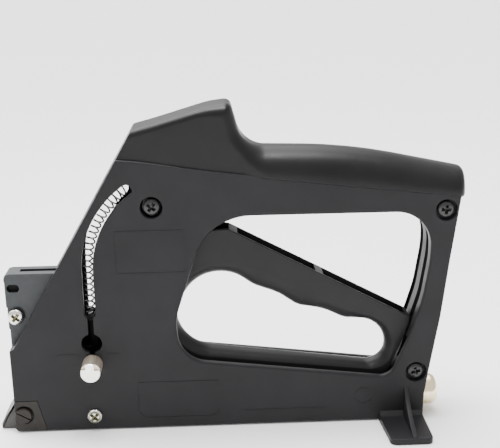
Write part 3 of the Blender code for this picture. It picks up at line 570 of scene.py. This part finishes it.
def housing_half(side):
    """One moulded half of the housing; side is -1 for the near half and 1 for the far one."""
    inside = HALF_WIDTH - 2.5
    crease = [p for p in spline(CREASE_LINE, 8) if p.x > slope_x(141.4) + 0.5]
    front = polygon((FRONT_X, BASE_Z), (FRONT_X, 20.0), (FRONT_X, 45.0), SLOPE_LOW)
    slope = [Vector((slope_x(z), z)) for z in (70.0, 95.0, 120.0, 141.4)]
    rear = polygon((107.6, 87.9), (104.2, 57.1), (99.4, 26.4), (97.6, 12.8), (97.6, BASE_Z))
    outline = (front + slope + crease + rear)[::-1]
    rims = []
    for point in outline:
        if point.y > 119.0:
            rims.append(0.9 if point.x < -25.0 else 0.2)
        else:
            rims.append(0.25 if point.x < 0.0 else 0.7)
    rings = []
    for k in range(5):
        turn = math.pi / 2 * k / 4
        moved = inset(anticlockwise(outline), [r * (1 - math.sin(turn)) for r in rims])
        rings.append([Vector((p.x, side * (HALF_WIDTH - r * (1 - math.cos(turn))), p.y))
                      for p, r in zip(moved, rims)])
    rings.append([Vector((p.x, side * -0.8, p.y)) for p in anticlockwise(outline)])
    body = skin("body", rings)

    ahead = polygon((-140.0, -5.0), (FRONT_X - 0.01, -5.0), (FRONT_X - 0.01, 45.0),
                    (SLOPE_LOW[0] - 0.01, SLOPE_LOW[1]), (slope_x(175.0), 175.0), (-140.0, 175.0))
    steps = [("join", crown(side)), ("join", foot(side)),
             ("cut", prism("ahead", ahead, *sorted((side * -3.0, side * 20.0))))]

    hollows = {
        "main": ([(-109.8, 3.1, 1), (-109.8, 44.4, 0), (-108.2, 44.4, 0), (-54.0, 137.7, 2), (4.0, 129.6, 2),
                  (4.0, 28.7, 2), (80.0, 19.4, 2), (94.9, 19.0, 2), (94.4, 3.1, 1)], inside),
        "trigger_way": ([(-16.0, 90.0, 0), (-16.0, 121.0, 0), (20.0, 121.0, 2), (20.0, 108.0, 2),
                         (0.0, 100.0, 0)], 7.6),
        "rest_groove": ([(-20.0, 40.0, 0), (-33.0, 60.0, 0), (-34.6, 50.0, 8), (-26.0, 33.5, 8),
                         (75.0, 20.4, 4), (84.5, 27.0, 4), (90.5, 46.0, 0), (60.0, 40.0, 0)], inside),
        "strut_groove": ([(84.0, 30.0, 0), (84.0, 107.2, 0), (98.6, 107.2, 4), (101.9, 100.0, 4),
                          (101.9, 88.0, 20), (98.9, 66.5, 40), (93.4, 46.5, 40), (88.2, 31.0, 2)],
                         7.6 if side < 0 else -0.6),
    }
    if side > 0:
        edge_groove = rounded([(84.0, 36.0, 0), (84.0, 108.2, 0), (97.0, 108.2, 4), (99.6, 100.0, 4),
                               (99.6, 88.0, 20), (96.8, 66.5, 40), (91.4, 46.5, 40), (88.2, 36.0, 2)], 4)
        steps.append(("cut", prism("edge_groove", edge_groove, 6.8, 12.7)))
    for label, (corners, depth) in hollows.items():
        steps.append(("cut", prism(label, rounded(corners, 4), *sorted((side * -2.0, side * depth)))))
    for place, inner in ((BODY_SCREW, -0.9), (BASE_SCREW, 7.6)):
        steps.append(("join", rod("boss", (place[0], side * inner, place[1]),
                                  (place[0], side * (inside + 1), place[1]), 4.2)))
    steps.append(("join", rod("pivot_boss", (PIVOT[0], side * (TRIGGER_HALF + 0.5), PIVOT[1]),
                              (PIVOT[0], side * (inside + 1), PIVOT[1]), 5.2)))
    bore = rod("pivot_bore", (PIVOT[0], 0, PIVOT[1]), (PIVOT[0], side * inside, PIVOT[1]), 2.8)
    steps.append(("cut", bore))
    lip = 1.4 if side < 0 else 0.7
    gap = inset(anticlockwise(rounded(OPENING, 12)), lip * 0.88)
    steps.append(("cut", flared("opening", gap, side, -2.0, lip)))

    for place in (BODY_SCREW, GRIP_SCREW, STRUT_SCREW, BASE_SCREW):
        if side > 0:
            steps.append(("cut", rod("bore", (place[0], -2.0, place[1]), (place[0], 10.4, place[1]), 1.9)))
            continue
        steps.append(("cut", rod("bore", (place[0], 2.0, place[1]), (place[0], -20.0, place[1]), 1.9)))
        if place != BASE_SCREW:
            profile = [(0.0, 5.25), (2.5, 5.35), (2.85, 5.5), (2.97, 5.75), (6.0, 5.75)]
            start = (place[0], 3.0 - HALF_WIDTH, place[1])
            steps.append(("cut", turned("recess", profile, start, (0, -1, 0))))
    if side < 0:
        slot = slot_outline(62.0, SLOT_ARC_R, 2.75, math.radians(54.3))
        steps.append(("cut", flared("slot", slot, side, inside - 1.0, 0.4)))
        way = rounded([(SLOT_X - 1.4, KNOB_Z - 2.0, 1.2), (SLOT_X + 1.4, KNOB_Z - 2.0, 1.2),
                       (SLOT_X + 1.4, 63.0, 0), (SLOT_X - 1.4, 63.0, 0)], 4)
        steps.append(("cut", flared("stem_way", way, side, inside - 1.0, 0.25)))
        steps.append(("cut", flared("keyhole", circle(SLOT_X, KEYHOLE_Z, 5.1), side, inside - 1.0, 0.4)))
    else:
        window = slot_outline(57.0, 49.6, 4.1, math.radians(46.5))
        steps.append(("cut", flared("window", window, side, inside - 1.0, 0.6)))
    steps.append(("cut", block("magazine_way", (-125.0, -85.7), (-side, side * 6.2), (16.9, 100.0))))
    steps.append(("cut", block("nose_way", (-125.0, -85.7), (-side, side * 9.3), (-5.0, 16.95))))
    space = polygon((-125.0, -5.0), (-125.0, 17.6), (-100.5, 17.6), (-94.8, -5.0))
    steps.append(("cut", prism("cheek_space", space, *sorted((side * 9.0, side * 20.0)))))
    steps.append(("cut", rod("adjuster_hole", (80.0, 0.0, DRIVE_Z), (99.0, 0.0, DRIVE_Z), 2.6)))
    steps.append(("cut", block("parting", (-150.0, 150.0), (side * PARTING, -side * 5.0), (-5.0, 200.0))))
    carve(body, *steps)
    if side < 0:
        carve(body, *[("join", mark) for mark in side_marks(side)])
    name = "near" if side < 0 else "far"
    settle(body, "housing_shell_" + name, "housing", HOUSING, ("housing_" + name,))
    # Faces above the crease take the darker grip plastic: painted shade on the hump and the grip
    body.data.materials.append(GRIP_SHADE_PLASTIC)
    crease = spline(CREASE_LINE, 8)
    for face in body.data.polygons:
        spot = TO_MODEL.inverted() @ face.center
        if spot.z > line_height(crease, spot.x) + 0.02:
            face.material_index = 1
    return body


def side_marks(side):
    """Plain raised borders and lines, where the moulding has its panels."""
    panel = rounded([(-49.5, 5.6, 5.5), (-7.6, 5.6, 5.5), (-7.6, 26.0, 1.5), (-49.5, 26.0, 1.5)], 6)
    marks = [frame_strip("panel", panel, 0.5, side, 0.22)]
    plate = rounded([(-57.5, 84.5, 0.8), (-23.2, 84.5, 0.8), (-23.2, 106.5, 0.8), (-57.5, 106.5, 0.8)], 3)
    marks.append(frame_strip("plate", plate, 0.45, side, 0.2))
    marks.append(frame_strip("date_ring", circle(66.0, 14.5, 4.6, 32), 0.5, side, 0.2))
    for x0, x1, z in ((-89.0, -79.0, 42.3), (-64.0, -57.5, 42.3), (4.0, 47.0, 8.4)):
        marks.append(block("line", (x0, x1), (side * (HALF_WIDTH - 0.4), side * (HALF_WIDTH + 0.2)),
                           (z - 0.25, z + 0.25)))
    return marks


# ---------------------------------------------------------------- fasteners

def cross_screw(name, place, head_y, profile, shank, bar, material, nodes, turn=0.0):
    """A cross-head screw along Y with its head on the near side."""
    x, z = place
    screw = turned("screw", shank + profile, (x, head_y, z), (0, -1, 0), 36)
    front = head_y - profile[-1][0]
    steps = []
    for angle in (turn, turn + 90):
        way = Matrix.Translation((x, 0, z)) @ Matrix.Rotation(math.radians(angle), 4, "Y")
        rings = []
        wide = 0.85
        for deep, half, thick in ((-1.0, bar, wide), (0.35, bar * 0.95, wide * 0.92), (1.5, bar * 0.6, 0.5),
                                  (1.9, bar * 0.3, 0.2)):
            rings.append([way @ Vector((a * half, front + deep, b * thick))
                          for a, b in ((-1, -1), (1, -1), (1, 1), (-1, 1))])
        steps.append(("cut", skin("cross", rings)))
    carve(screw, *steps)
    settle(screw, name, "housing", material, nodes)
    # The cross recess faces take a darker material: painted shade in the recess of the nickel screws
    screw.data.materials.append(RECESS_SHADE if material is NICKEL else BLACK_STEEL)
    centre = TO_MODEL @ Vector((x, front, z))
    for face in screw.data.polygons:
        off = face.center - centre
        if off.y > 0.3 * MM and math.hypot(off.x, off.z) < (bar + 0.4) * MM:
            face.material_index = 1
    return screw


def fasteners():
    black = [(0.0, 4.3), (0.8, 4.3), (1.3, 4.1), (1.7, 3.6), (2.0, 2.9), (2.15, 2.0), (2.2, 1.0)]
    long_shank = [(-19.8, 0.5), (-18.4, 1.6), (0.0, 1.6)]
    for name, place, node, turn in (("upper_body_screw", BODY_SCREW, "screw_body_upper", 38),
                                    ("rear_grip_screw", GRIP_SCREW, "screw_grip_rear", 4),
                                    ("lower_strut_screw", STRUT_SCREW, "screw_strut_lower", -12)):
        cross_screw(name, place, -10.8, black, long_shank, 2.5, BLACK_STEEL, (node,), turn)
    pan = [(0.0, 3.85), (0.5, 3.85), (1.1, 3.65), (1.7, 3.1), (2.1, 2.3), (2.25, 1.2)]
    cross_screw("front_base_screw", BASE_SCREW, -13.8, pan, [(-23.8, 0.5), (-22.2, 1.6), (0.0, 1.6)], 2.6,
                NICKEL, ("screw_base_front",), 42)
    small = [(0.0, 4.1), (0.6, 4.1), (1.1, 3.85), (1.5, 3.2), (1.8, 2.1), (1.9, 1.1)]
    cross_screw("magazine_screw", MAGAZINE_SCREW, -5.5, small, [(-9.8, 0.5), (-8.2, 1.6), (0.0, 1.6)], 2.5,
                NICKEL, ("screw_magazine",), 38)
    for side in (-1, 1):
        name = "near" if side < 0 else "far"
        x, z = CHEEK_SCREW
        profile = [(-6.8, 0.8), (-6.0, 1.6), (0.0, 1.6), (0.0, 4.2), (1.9, 4.2), (2.25, 4.0), (2.4, 3.65)]
        screw = turned("slotted", profile, (x - 0.25, side * 12.3, z - 0.3), (0, side, 0), 36)
        tilt = Matrix.Translation((x, 0, z)) @ Matrix.Rotation(math.radians(30), 4, "Y")
        bar = block("bar", (-6.0, 6.0), (side * 13.8, side * 16.0), (-0.6, 0.05))
        bar.data.transform(tilt)
        carve(screw, ("cut", bar))
        settle(screw, "slotted_screw_" + name, "housing", CHEEK_STEEL,
               ("cheek_screw_" + name,))


# ---------------------------------------------------------------- nose

def nose():
    """The two halves of the magazine, the wedge at its foot, and the cheek plates."""
    for side in (-1, 1):
        name = "near" if side < 0 else "far"
        outline = rounded([(-113.0, 17.3, 0), (-113.0, 53.0, 0.3), (-113.5, 53.6, 0.3), (-113.5, 64.6, 0.3),
                           (-114.0, 65.2, 0.3), (-114.0, 83.2, 3.0), (-86.0, 83.2, 0), (-86.0, 17.3, 0)], 4)
        outline = anticlockwise(outline)
        rims = [0.5 if point.y > 78.5 else 0.35 for point in outline]
        rings = []
        for k in range(5):
            turn = math.pi / 2 * k / 4
            moved = inset(outline, [r * (1 - math.sin(turn)) for r in rims])
            rings.append([Vector((p.x, side * (5.15 - r * (1 - math.cos(turn))), p.y))
                          for p, r in zip(moved, rims)])
        rings.append([Vector((p.x, side * PARTING, p.y)) for p in outline])
        half = skin("plate", rings)
        outer = anticlockwise(rounded([
            (-113.0, 17.3, 0), (-113.0, 53.0, 0.3), (-113.5, 53.6, 0.3), (-113.5, 64.6, 0.3),
            (-114.0, 65.2, 0.3), (-114.0, 81.4, 2.6), (-86.0, 81.4, 0), (-86.0, 17.3, 0)], 4))
        rims = [0.7 if point.y > 78.5 else 0.3 for point in outer]
        rings = []
        for k in range(6):
            turn = math.pi / 2 * k / 5
            moved = inset(outer, [r * (1 - math.sin(turn)) for r in rims])
            rings.append([Vector((p.x, side * (5.9 - r * (1 - math.cos(turn))), p.y))
                          for p, r in zip(moved, rims)])
        rings.append([Vector((p.x, side * 3.9, p.y)) for p in outer])
        x, z = MAGAZINE_SCREW
        cap = anticlockwise(polygon((-113.4, 82.1), (-112.5, 82.8), (-111.2, 83.2),
                                    (-86.0, 83.2), (-86.0, 82.1)))
        dimple = rounded([(-113.0, 72.9, 1.9), (-106.8, 72.9, 1.9),
                          (-106.8, 77.0, 1.9), (-113.0, 77.0, 1.9)], 6)
        steps = [
            ("join", skin("outer", rings)),
            ("join", prism("cap", cap, *sorted((side * 4.0, side * 5.8)), 0.2, 0.2)),
            ("cut", block("channel", (-107.0, -91.0), (-side, side * 3.2), (0.0, 79.6))),
            ("cut", block("channel_top", (-106.3, -88.0), (-side, side * 1.7), (79.0, 100.0))),
            ("cut", block("slit", (-92.0, -80.0), (-side, side * 1.6), (0.0, 100.0))),
            ("cut", rod("bore", (x, side, z), (x, side * (20.0 if side < 0 else 4.2), z), 1.9)),
            ("cut", block("relief", (-120.0, -80.0), (side * 5.6, side * 8.0), (53.0, 79.2))),
            ("cut", flared("dimple", dimple, side, 1.6, 0.6, face=5.6)),
        ]
        if side < 0:
            steps.append(("cut", turned("counterbore", [(0.0, 4.75), (2.0, 4.75)], (x, -5.2, z), (0, -1, 0))))
        carve(half, *steps)
        settle(half, "magazine_side_" + name, "housing", NOSE_STEEL,
               ("magazine_plate_" + name,))
        # The dimple's inner faces take the near-black steel: painted shade in the hole
        half.data.materials.append(SHADE_BLACK)
        for face in half.data.polygons:
            spot = TO_MODEL.inverted() @ face.center
            if spot.x < -106.9 and 73.0 < spot.z < 76.9 and abs(spot.y) < 4.6:
                face.material_index = 1

        cheek_outline = rounded([(-111.6, BASE_Z, 0), (-112.6, 1.8, 0), (-112.3, 17.4, 0.4),
                                 (-100.65, 17.4, 0.4), (-96.4, BASE_Z, 0)], 3)
        low, high = sorted((side * 11.4, side * HALF_WIDTH))
        rim = (0.35, 0.0) if side < 0 else (0.0, 0.35)
        cheek = prism("cheek", cheek_outline, low, high, *rim)
        x, z = CHEEK_SCREW
        boss = rod("boss", (x, side * 9.3, z), (x, side * 12.0, z), 4.4)
        bore = rod("bore", (x, 0, z), (x, side * 20.0, z), 1.9)
        recess = turned("recess", [(0.0, 4.95), (1.3, 4.95), (1.45, 5.1), (3.0, 5.1)],
                        (x, side * 12.0, z), (0, side, 0))
        carve(cheek, ("join", boss), ("cut", bore), ("cut", recess))
        settle(cheek, "cheek_" + name, "housing", CHEEK_STEEL, ("nose_cheek_" + name,))

    outline = rounded([(-120.7, 0.0, 0.5), (-120.7, 2.4, 0.7), (-118.9, 5.9, 2.0), (-113.4, 13.6, 1.5),
                       (-112.9, 16.6, 0.3), (-86.3, 16.6, 0), (-86.3, 0.6, 0), (-96.0, 0.0, 0)], 4)
    tip = prism("tip", outline, -9.0, 9.0, 0.9, 0.9, 4)
    steps = [("cut", block("blade_slot", (-130.0, -80.0), (-3.4, 3.4), (3.7, 5.8))),
             ("cut", block("channel_foot", (-107.0, -91.0), (-3.2, 3.2), (4.5, 30.0))),
             ("cut", block("slit_foot", (-92.0, -80.0), (-1.6, 1.6), (6.4, 30.0)))]
    for side in (-1, 1):
        x, z = CHEEK_SCREW
        steps.append(("cut", rod("thread", (x, side * 4.2, z), (x, side * 20.0, z), 1.9)))
    carve(tip, *steps)
    settle(tip, "nose_wedge", "housing", TIP_STEEL, ("nose_tip",))


# ---------------------------------------------------------------- trigger

def trigger():
    """The looped trigger: full-round finger hollows and a channel with ribs along its top."""
    px, pz = PIVOT
    ax, az = PAWL_PIN
    arc = []
    for degrees in (-15.0, -17, -19, -21.5, -24, -26):
        turn = math.radians(degrees)
        arc.append((px + TRIGGER_REACH * math.cos(turn), pz + TRIGGER_REACH * math.sin(turn), 0))
    outline = [(-2.0, 104.0, 5), (90.3, 54.7, 0.8)] + arc
    outline += [(79.4, 21.9, 7), (ax + 14.0, 32.7, 6), (ax + 7.0, 32.6, 5), (ax + 4.2, az - 4.2, 4),
                (ax - 4.2, az - 4.2, 4), (ax - 5.5, 40.0, 20), (px - 10.0, pz - 6.0, 8),
                (px - 8.0, pz + 9.0, 8), (px + 10.0, 103.0, 8)]
    lever = prism("lever", rounded(outline, 8), -TRIGGER_HALF, TRIGGER_HALF, 0.45, 0.45)

    middle = rounded(FINGER_MIDDLE, 14)
    edge = []
    for inner, outer in zip(middle, rounded(FINGER_SIDE, 14)):
        reach = outer - inner
        edge.append(inner + reach * (1 + 0.7 * max(0.0, -reach.normalized().y)))
    rings = []
    levels, turn = 9, math.radians(52)
    for k in range(-levels, levels + 1):
        angle = turn * abs(k) / levels
        part = (1 - math.cos(angle)) / (1 - math.cos(turn))
        y = TRIGGER_HALF * math.sin(angle) / math.sin(turn) * (1 if k > 0 else -1)
        rings.append([Vector((m.lerp(e, part).x, y, m.lerp(e, part).y)) for m, e in zip(middle, edge)])
    rings = ([[p + Vector((0, -4.0, 0)) for p in rings[0]]] + rings
             + [[p + Vector((0, 4.0, 0)) for p in rings[-1]]])
    steps = [("cut", skin("finger_hole", rings)),
             ("cut", rod("pivot_bore", (px, -10, pz), (px, 10, pz), 2.8))]
    fall = 0.535
    for start, end in ((2.6, 41.6), (45.6, 88.4)):
        top = [Vector((x, 103.0 - fall * x + 3.0)) for x in (start, end)]
        low = [Vector((x, 103.0 - fall * x - 4.6)) for x in (end, start)]
        steps.append(("cut", prism("channel", top + low, -5.1, 5.1)))
    steps.append(("cut", block("rear_channel", (-14.0, -1.6), (-5.1, 5.1), (98.4, 107.0))))
    steps.append(("cut", block("rib_top", (-1.6, 2.6), (-5.1, 5.1), (103.2, 107.0))))
    steps.append(("cut", block("pawl_fork", (ax - 9.0, ax + 9.0), (-2.6, 2.6), (az - 9.0, az + 8.0))))
    steps.append(("cut", rod("pawl_bore", (ax, -10.0, az), (ax, 10.0, az), 1.8)))
    carve(lever, *steps)
    settle(lever, "trigger_loop", "trigger", TRIGGER, ("trigger_lever",))


# ---------------------------------------------------------------- follower and adjuster

def helix(start, end, radius, turns, per_turn, across=Vector((0, 1, 0))):
    """Points of a straight coil from start to end, with closed end turns."""
    way = (end - start).normalized()
    other = way.cross(across)
    points = []
    count = int(turns * per_turn)
    for k in range(count + 1):
        part = k / count
        eased = part + 0.35 / turns * math.sin(2 * math.pi * part) * -1
        angle = 2 * math.pi * k / per_turn
        points.append(start.lerp(end, eased) + (across * math.sin(angle) + other * math.cos(angle)) * radius)
    return points


def springs():
    """The coil in the slot, the driving spring, and the trigger's return spring."""
    straight = SLOT_ARC_Z - 62.0
    length = straight + SLOT_ARC_R * math.radians(54.3) - 0.6
    pitch, per_turn, radius = 3.0, 14, 2.1
    count = int(length / pitch * per_turn)
    points = []
    for k in range(count + 1):
        distance = length * k / count
        if distance <= straight:
            middle, along = Vector((SLOT_X, 62.0 + distance)), Vector((0.0, 1.0))
        else:
            turn = (distance - straight) / SLOT_ARC_R
            middle = Vector((SLOT_X + SLOT_ARC_R - SLOT_ARC_R * math.cos(turn),
                             SLOT_ARC_Z + SLOT_ARC_R * math.sin(turn)))
            along = Vector((math.sin(turn), math.cos(turn)))
        across = Vector((along.y, -along.x))
        angle = 2 * math.pi * k / per_turn
        spot = middle + across * radius * math.cos(angle)
        points.append(Vector((spot.x, -9.8 + radius * math.sin(angle), spot.y)))
    coil = tube("coil", points, 0.42, 8)
    settle(coil, "slot_spring", "housing", SPRING_STEEL, ("follower_spring",))
    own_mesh(coil)

    low, high = (Vector(corner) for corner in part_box("main_spring"))
    thick = 0.75
    start = Vector((low.x / MM - SHIFT_X + 0.1, 0, DRIVE_Z))
    end = Vector((high.x / MM - SHIFT_X - 0.1, 0, DRIVE_Z))
    coil = tube("coil", helix(start, end, 4.15, 22, 18), thick, 9)
    settle(coil, "driving_spring", "housing", SPRING_STEEL, ("main_spring",))
    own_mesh(coil)

    px, pz = PIVOT
    turns, per_turn, reach = 3, 20, 6.4
    points = [Vector((px - 16.0, 7.3, pz + 17.0))]
    count = turns * per_turn + 3
    for k in range(count + 1):
        angle = math.radians(120) + 2 * math.pi * k / per_turn
        points.append(Vector((px + reach * math.cos(angle), 7.3 + 3.0 * k / count,
                              pz + reach * math.sin(angle))))
    points.append(Vector((px - 8.0, 10.3, pz - 20.0)))
    coil = tube("coil", points, 0.45, 8)
    settle(coil, "trigger_spring", "housing", SPRING_STEEL, ("trigger_return_spring",))


def knobs():
    """The follower's knob and stem, and the brass knob that sets the force."""
    start = HALF_WIDTH + 0.3
    profile = [(0.0, 4.4), (0.15, 4.8), (0.5, 5.0), (10.9, 5.0), (11.3, 4.93), (11.6, 4.7), (11.7, 4.4)]
    knob = turned("knob", profile, (SLOT_X, -start, KNOB_Z), (0, -1, 0), 48)
    bore = rod("bore", (SLOT_X, -16.6, KNOB_Z), (SLOT_X, -10.0, KNOB_Z), 1.4)
    left = block("notch", (SLOT_X - 6.0, SLOT_X - 2.2), (-30.0, -24.4), (KNOB_Z + 2.0, KNOB_Z + 6.0))
    right = block("notch", (SLOT_X + 1.9, SLOT_X + 6.0), (-30.0, -24.4), (KNOB_Z + 1.5, KNOB_Z + 6.0))
    carve(knob, ("cut", bore), ("cut", left), ("cut", right))
    settle(knob, "follower_button", "follower", BRUSHED, ("follower_knob",))
    # The knob's end face takes the near-white polished metal: partly its polished face, partly a painted
    # highlight
    knob.data.materials.append(POLISHED_HIGHLIGHT)
    for face in knob.data.polygons:
        if face.normal.y < -0.6 and face.center.y < -25.0 * MM:
            face.material_index = 1
    stem = turned("stem", [(0.0, 0.9), (0.3, 1.1), (16.7, 1.1), (17.0, 0.9)],
                  (SLOT_X, 1.0, KNOB_Z), (0, -1, 0), 20)
    settle(stem, "follower_pin", "follower", BLACK_STEEL, ("follower_stem",))

    profile = [(0.0, 7.4), (0.2, 7.8), (0.6, 8.1), (1.3, 8.1),
               (1.45, 7.9), (1.75, 7.9), (1.9, 8.1), (4.6, 8.1)]
    for k in range(1, 9):
        angle = math.pi / 2 * k / 9
        profile.append((4.6 + 3.9 * math.sin(angle), 4.2 + 3.9 * math.cos(angle)))
    profile.append((8.5, 3.8))
    knob = turned("knob", profile, (98.4, 0, DRIVE_Z), (1, 0, 0), 56)
    carve(knob, ("cut", rod("bore", (95.0, 0, DRIVE_Z), (102.4, 0, DRIVE_Z), 2.5)))
    settle(knob, "force_knob", "adjuster", BRASS, ("adjuster_knob",))


# ---------------------------------------------------------------- build

CROWN = crown_sections()
for half in (-1, 1):
    housing_half(half)
fasteners()
nose()
trigger()
springs()
knobs()

for node, material in {
    "driver_track": BRIGHT_STEEL, "driver_blade": BRIGHT_STEEL, "driver_carriage": PLAIN_STEEL,
    "blade_rivet": PLAIN_STEEL, "driver_bumper": RUBBER, "trigger_pivot_pin": PLAIN_STEEL,
    # The follower plate is painted near black as shade inside the housing
    "pawl_pin": PLAIN_STEEL, "cocking_pawl": PLAIN_STEEL, "follower_plate": SHADE_BLACK,
    "follower_shoe": PLAIN_STEEL, "adjuster_rod": PLAIN_STEEL, "spring_seat": PLAIN_STEEL,
}.items():
    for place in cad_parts[node].material_slots:
        place.material = material


# ---------------------------------------------------------------- stage, light and camera

def floor():
    shape = bmesh.new()
    bmesh.ops.create_grid(shape, x_segments=1, y_segments=1, size=6.0)
    mesh = bpy.data.meshes.new("floor")
    shape.to_mesh(mesh)
    shape.free()
    ground = bpy.data.objects.new("floor", mesh)
    ground.location = (0, 0, -0.0002)
    bpy.context.scene.collection.objects.link(ground)
    material, _, shader = shader_of("floor_paper")
    shader.inputs["Base Color"].default_value = (0.93, 0.93, 0.93, 1)
    shader.inputs["Roughness"].default_value = 0.9
    shader.inputs["Specular IOR Level"].default_value = 0.1
    mesh.materials.append(material)


def sky_light():
    """A soft studio surround: pale all over and brighter above and behind on the left."""
    world = bpy.data.worlds.new("studio")
    world.use_nodes = True
    tree = world.node_tree
    aim = tree.nodes.new("ShaderNodeVectorMath")
    aim.operation = "DOT_PRODUCT"
    aim.inputs[1].default_value = Vector((-0.35, 0.40, 0.85)).normalized()
    tree.links.new(tree.nodes.new("ShaderNodeTexCoord").outputs["Generated"], aim.inputs[0])
    level = tree.nodes.new("ShaderNodeMapRange")
    level.interpolation_type = "SMOOTHSTEP"
    level.inputs["From Min"].default_value = 0.70
    level.inputs["From Max"].default_value = 0.95
    level.inputs["To Min"].default_value = 1.1
    level.inputs["To Max"].default_value = 8.0
    tree.links.new(aim.outputs["Value"], level.inputs["Value"])
    tree.links.new(level.outputs["Result"], tree.nodes["Background"].inputs["Strength"])
    tree.nodes["Background"].inputs["Color"].default_value = (1.0, 1.0, 1.0, 1)
    bpy.context.scene.world = world


def softbox(name, place, target, size, power):
    lamp = bpy.data.lights.new(name, "AREA")
    lamp.shape = "RECTANGLE"
    lamp.size, lamp.size_y = size
    lamp.energy = power
    holder = bpy.data.objects.new(name, lamp)
    holder.location = place
    holder.rotation_euler = (Vector(target) - Vector(place)).to_track_quat("-Z", "Y").to_euler()
    bpy.context.scene.collection.objects.link(holder)


def camera():
    """The photograph's view, in the frame's metres."""
    yaw, pitch, roll = 0.0462659, 0.2973527, -0.0111189
    view = bpy.data.cameras.new("camera")
    view.sensor_fit = "HORIZONTAL"
    view.sensor_width = 36.0
    view.lens = 66.456
    view.clip_start, view.clip_end = 0.01, 50.0
    ahead = Vector((math.sin(yaw) * math.cos(pitch), math.cos(yaw) * math.cos(pitch), -math.sin(pitch)))
    right = Vector((math.cos(yaw), -math.sin(yaw), 0))
    up = right.cross(ahead)
    right, up = (math.cos(roll) * right + math.sin(roll) * up, -math.sin(roll) * right + math.cos(roll) * up)
    holder = bpy.data.objects.new("camera", view)
    holder.matrix_world = Matrix.Translation(((-11.3087 + SHIFT_X) * MM, -0.4398165, 0.2393669)) @ Matrix((
        (right.x, up.x, -ahead.x, 0), (right.y, up.y, -ahead.y, 0),
        (right.z, up.z, -ahead.z, 0), (0, 0, 0, 1)))
    bpy.context.scene.collection.objects.link(holder)
    bpy.context.scene.camera = holder


floor()
sky_light()
sun = bpy.data.lights.new("front_fill", "SUN")
sun.energy = 0.1
sun.angle = math.radians(80)
fill = bpy.data.objects.new("front_fill", sun)
fill.rotation_euler = Vector((0.15, 0.8, -0.8)).to_track_quat("-Z", "Y").to_euler()
bpy.context.scene.collection.objects.link(fill)
softbox("overhead", (-0.02, -0.03, 0.8), (0.0, 0.0, 0.12), (0.40, 0.24), 7.5)
camera()
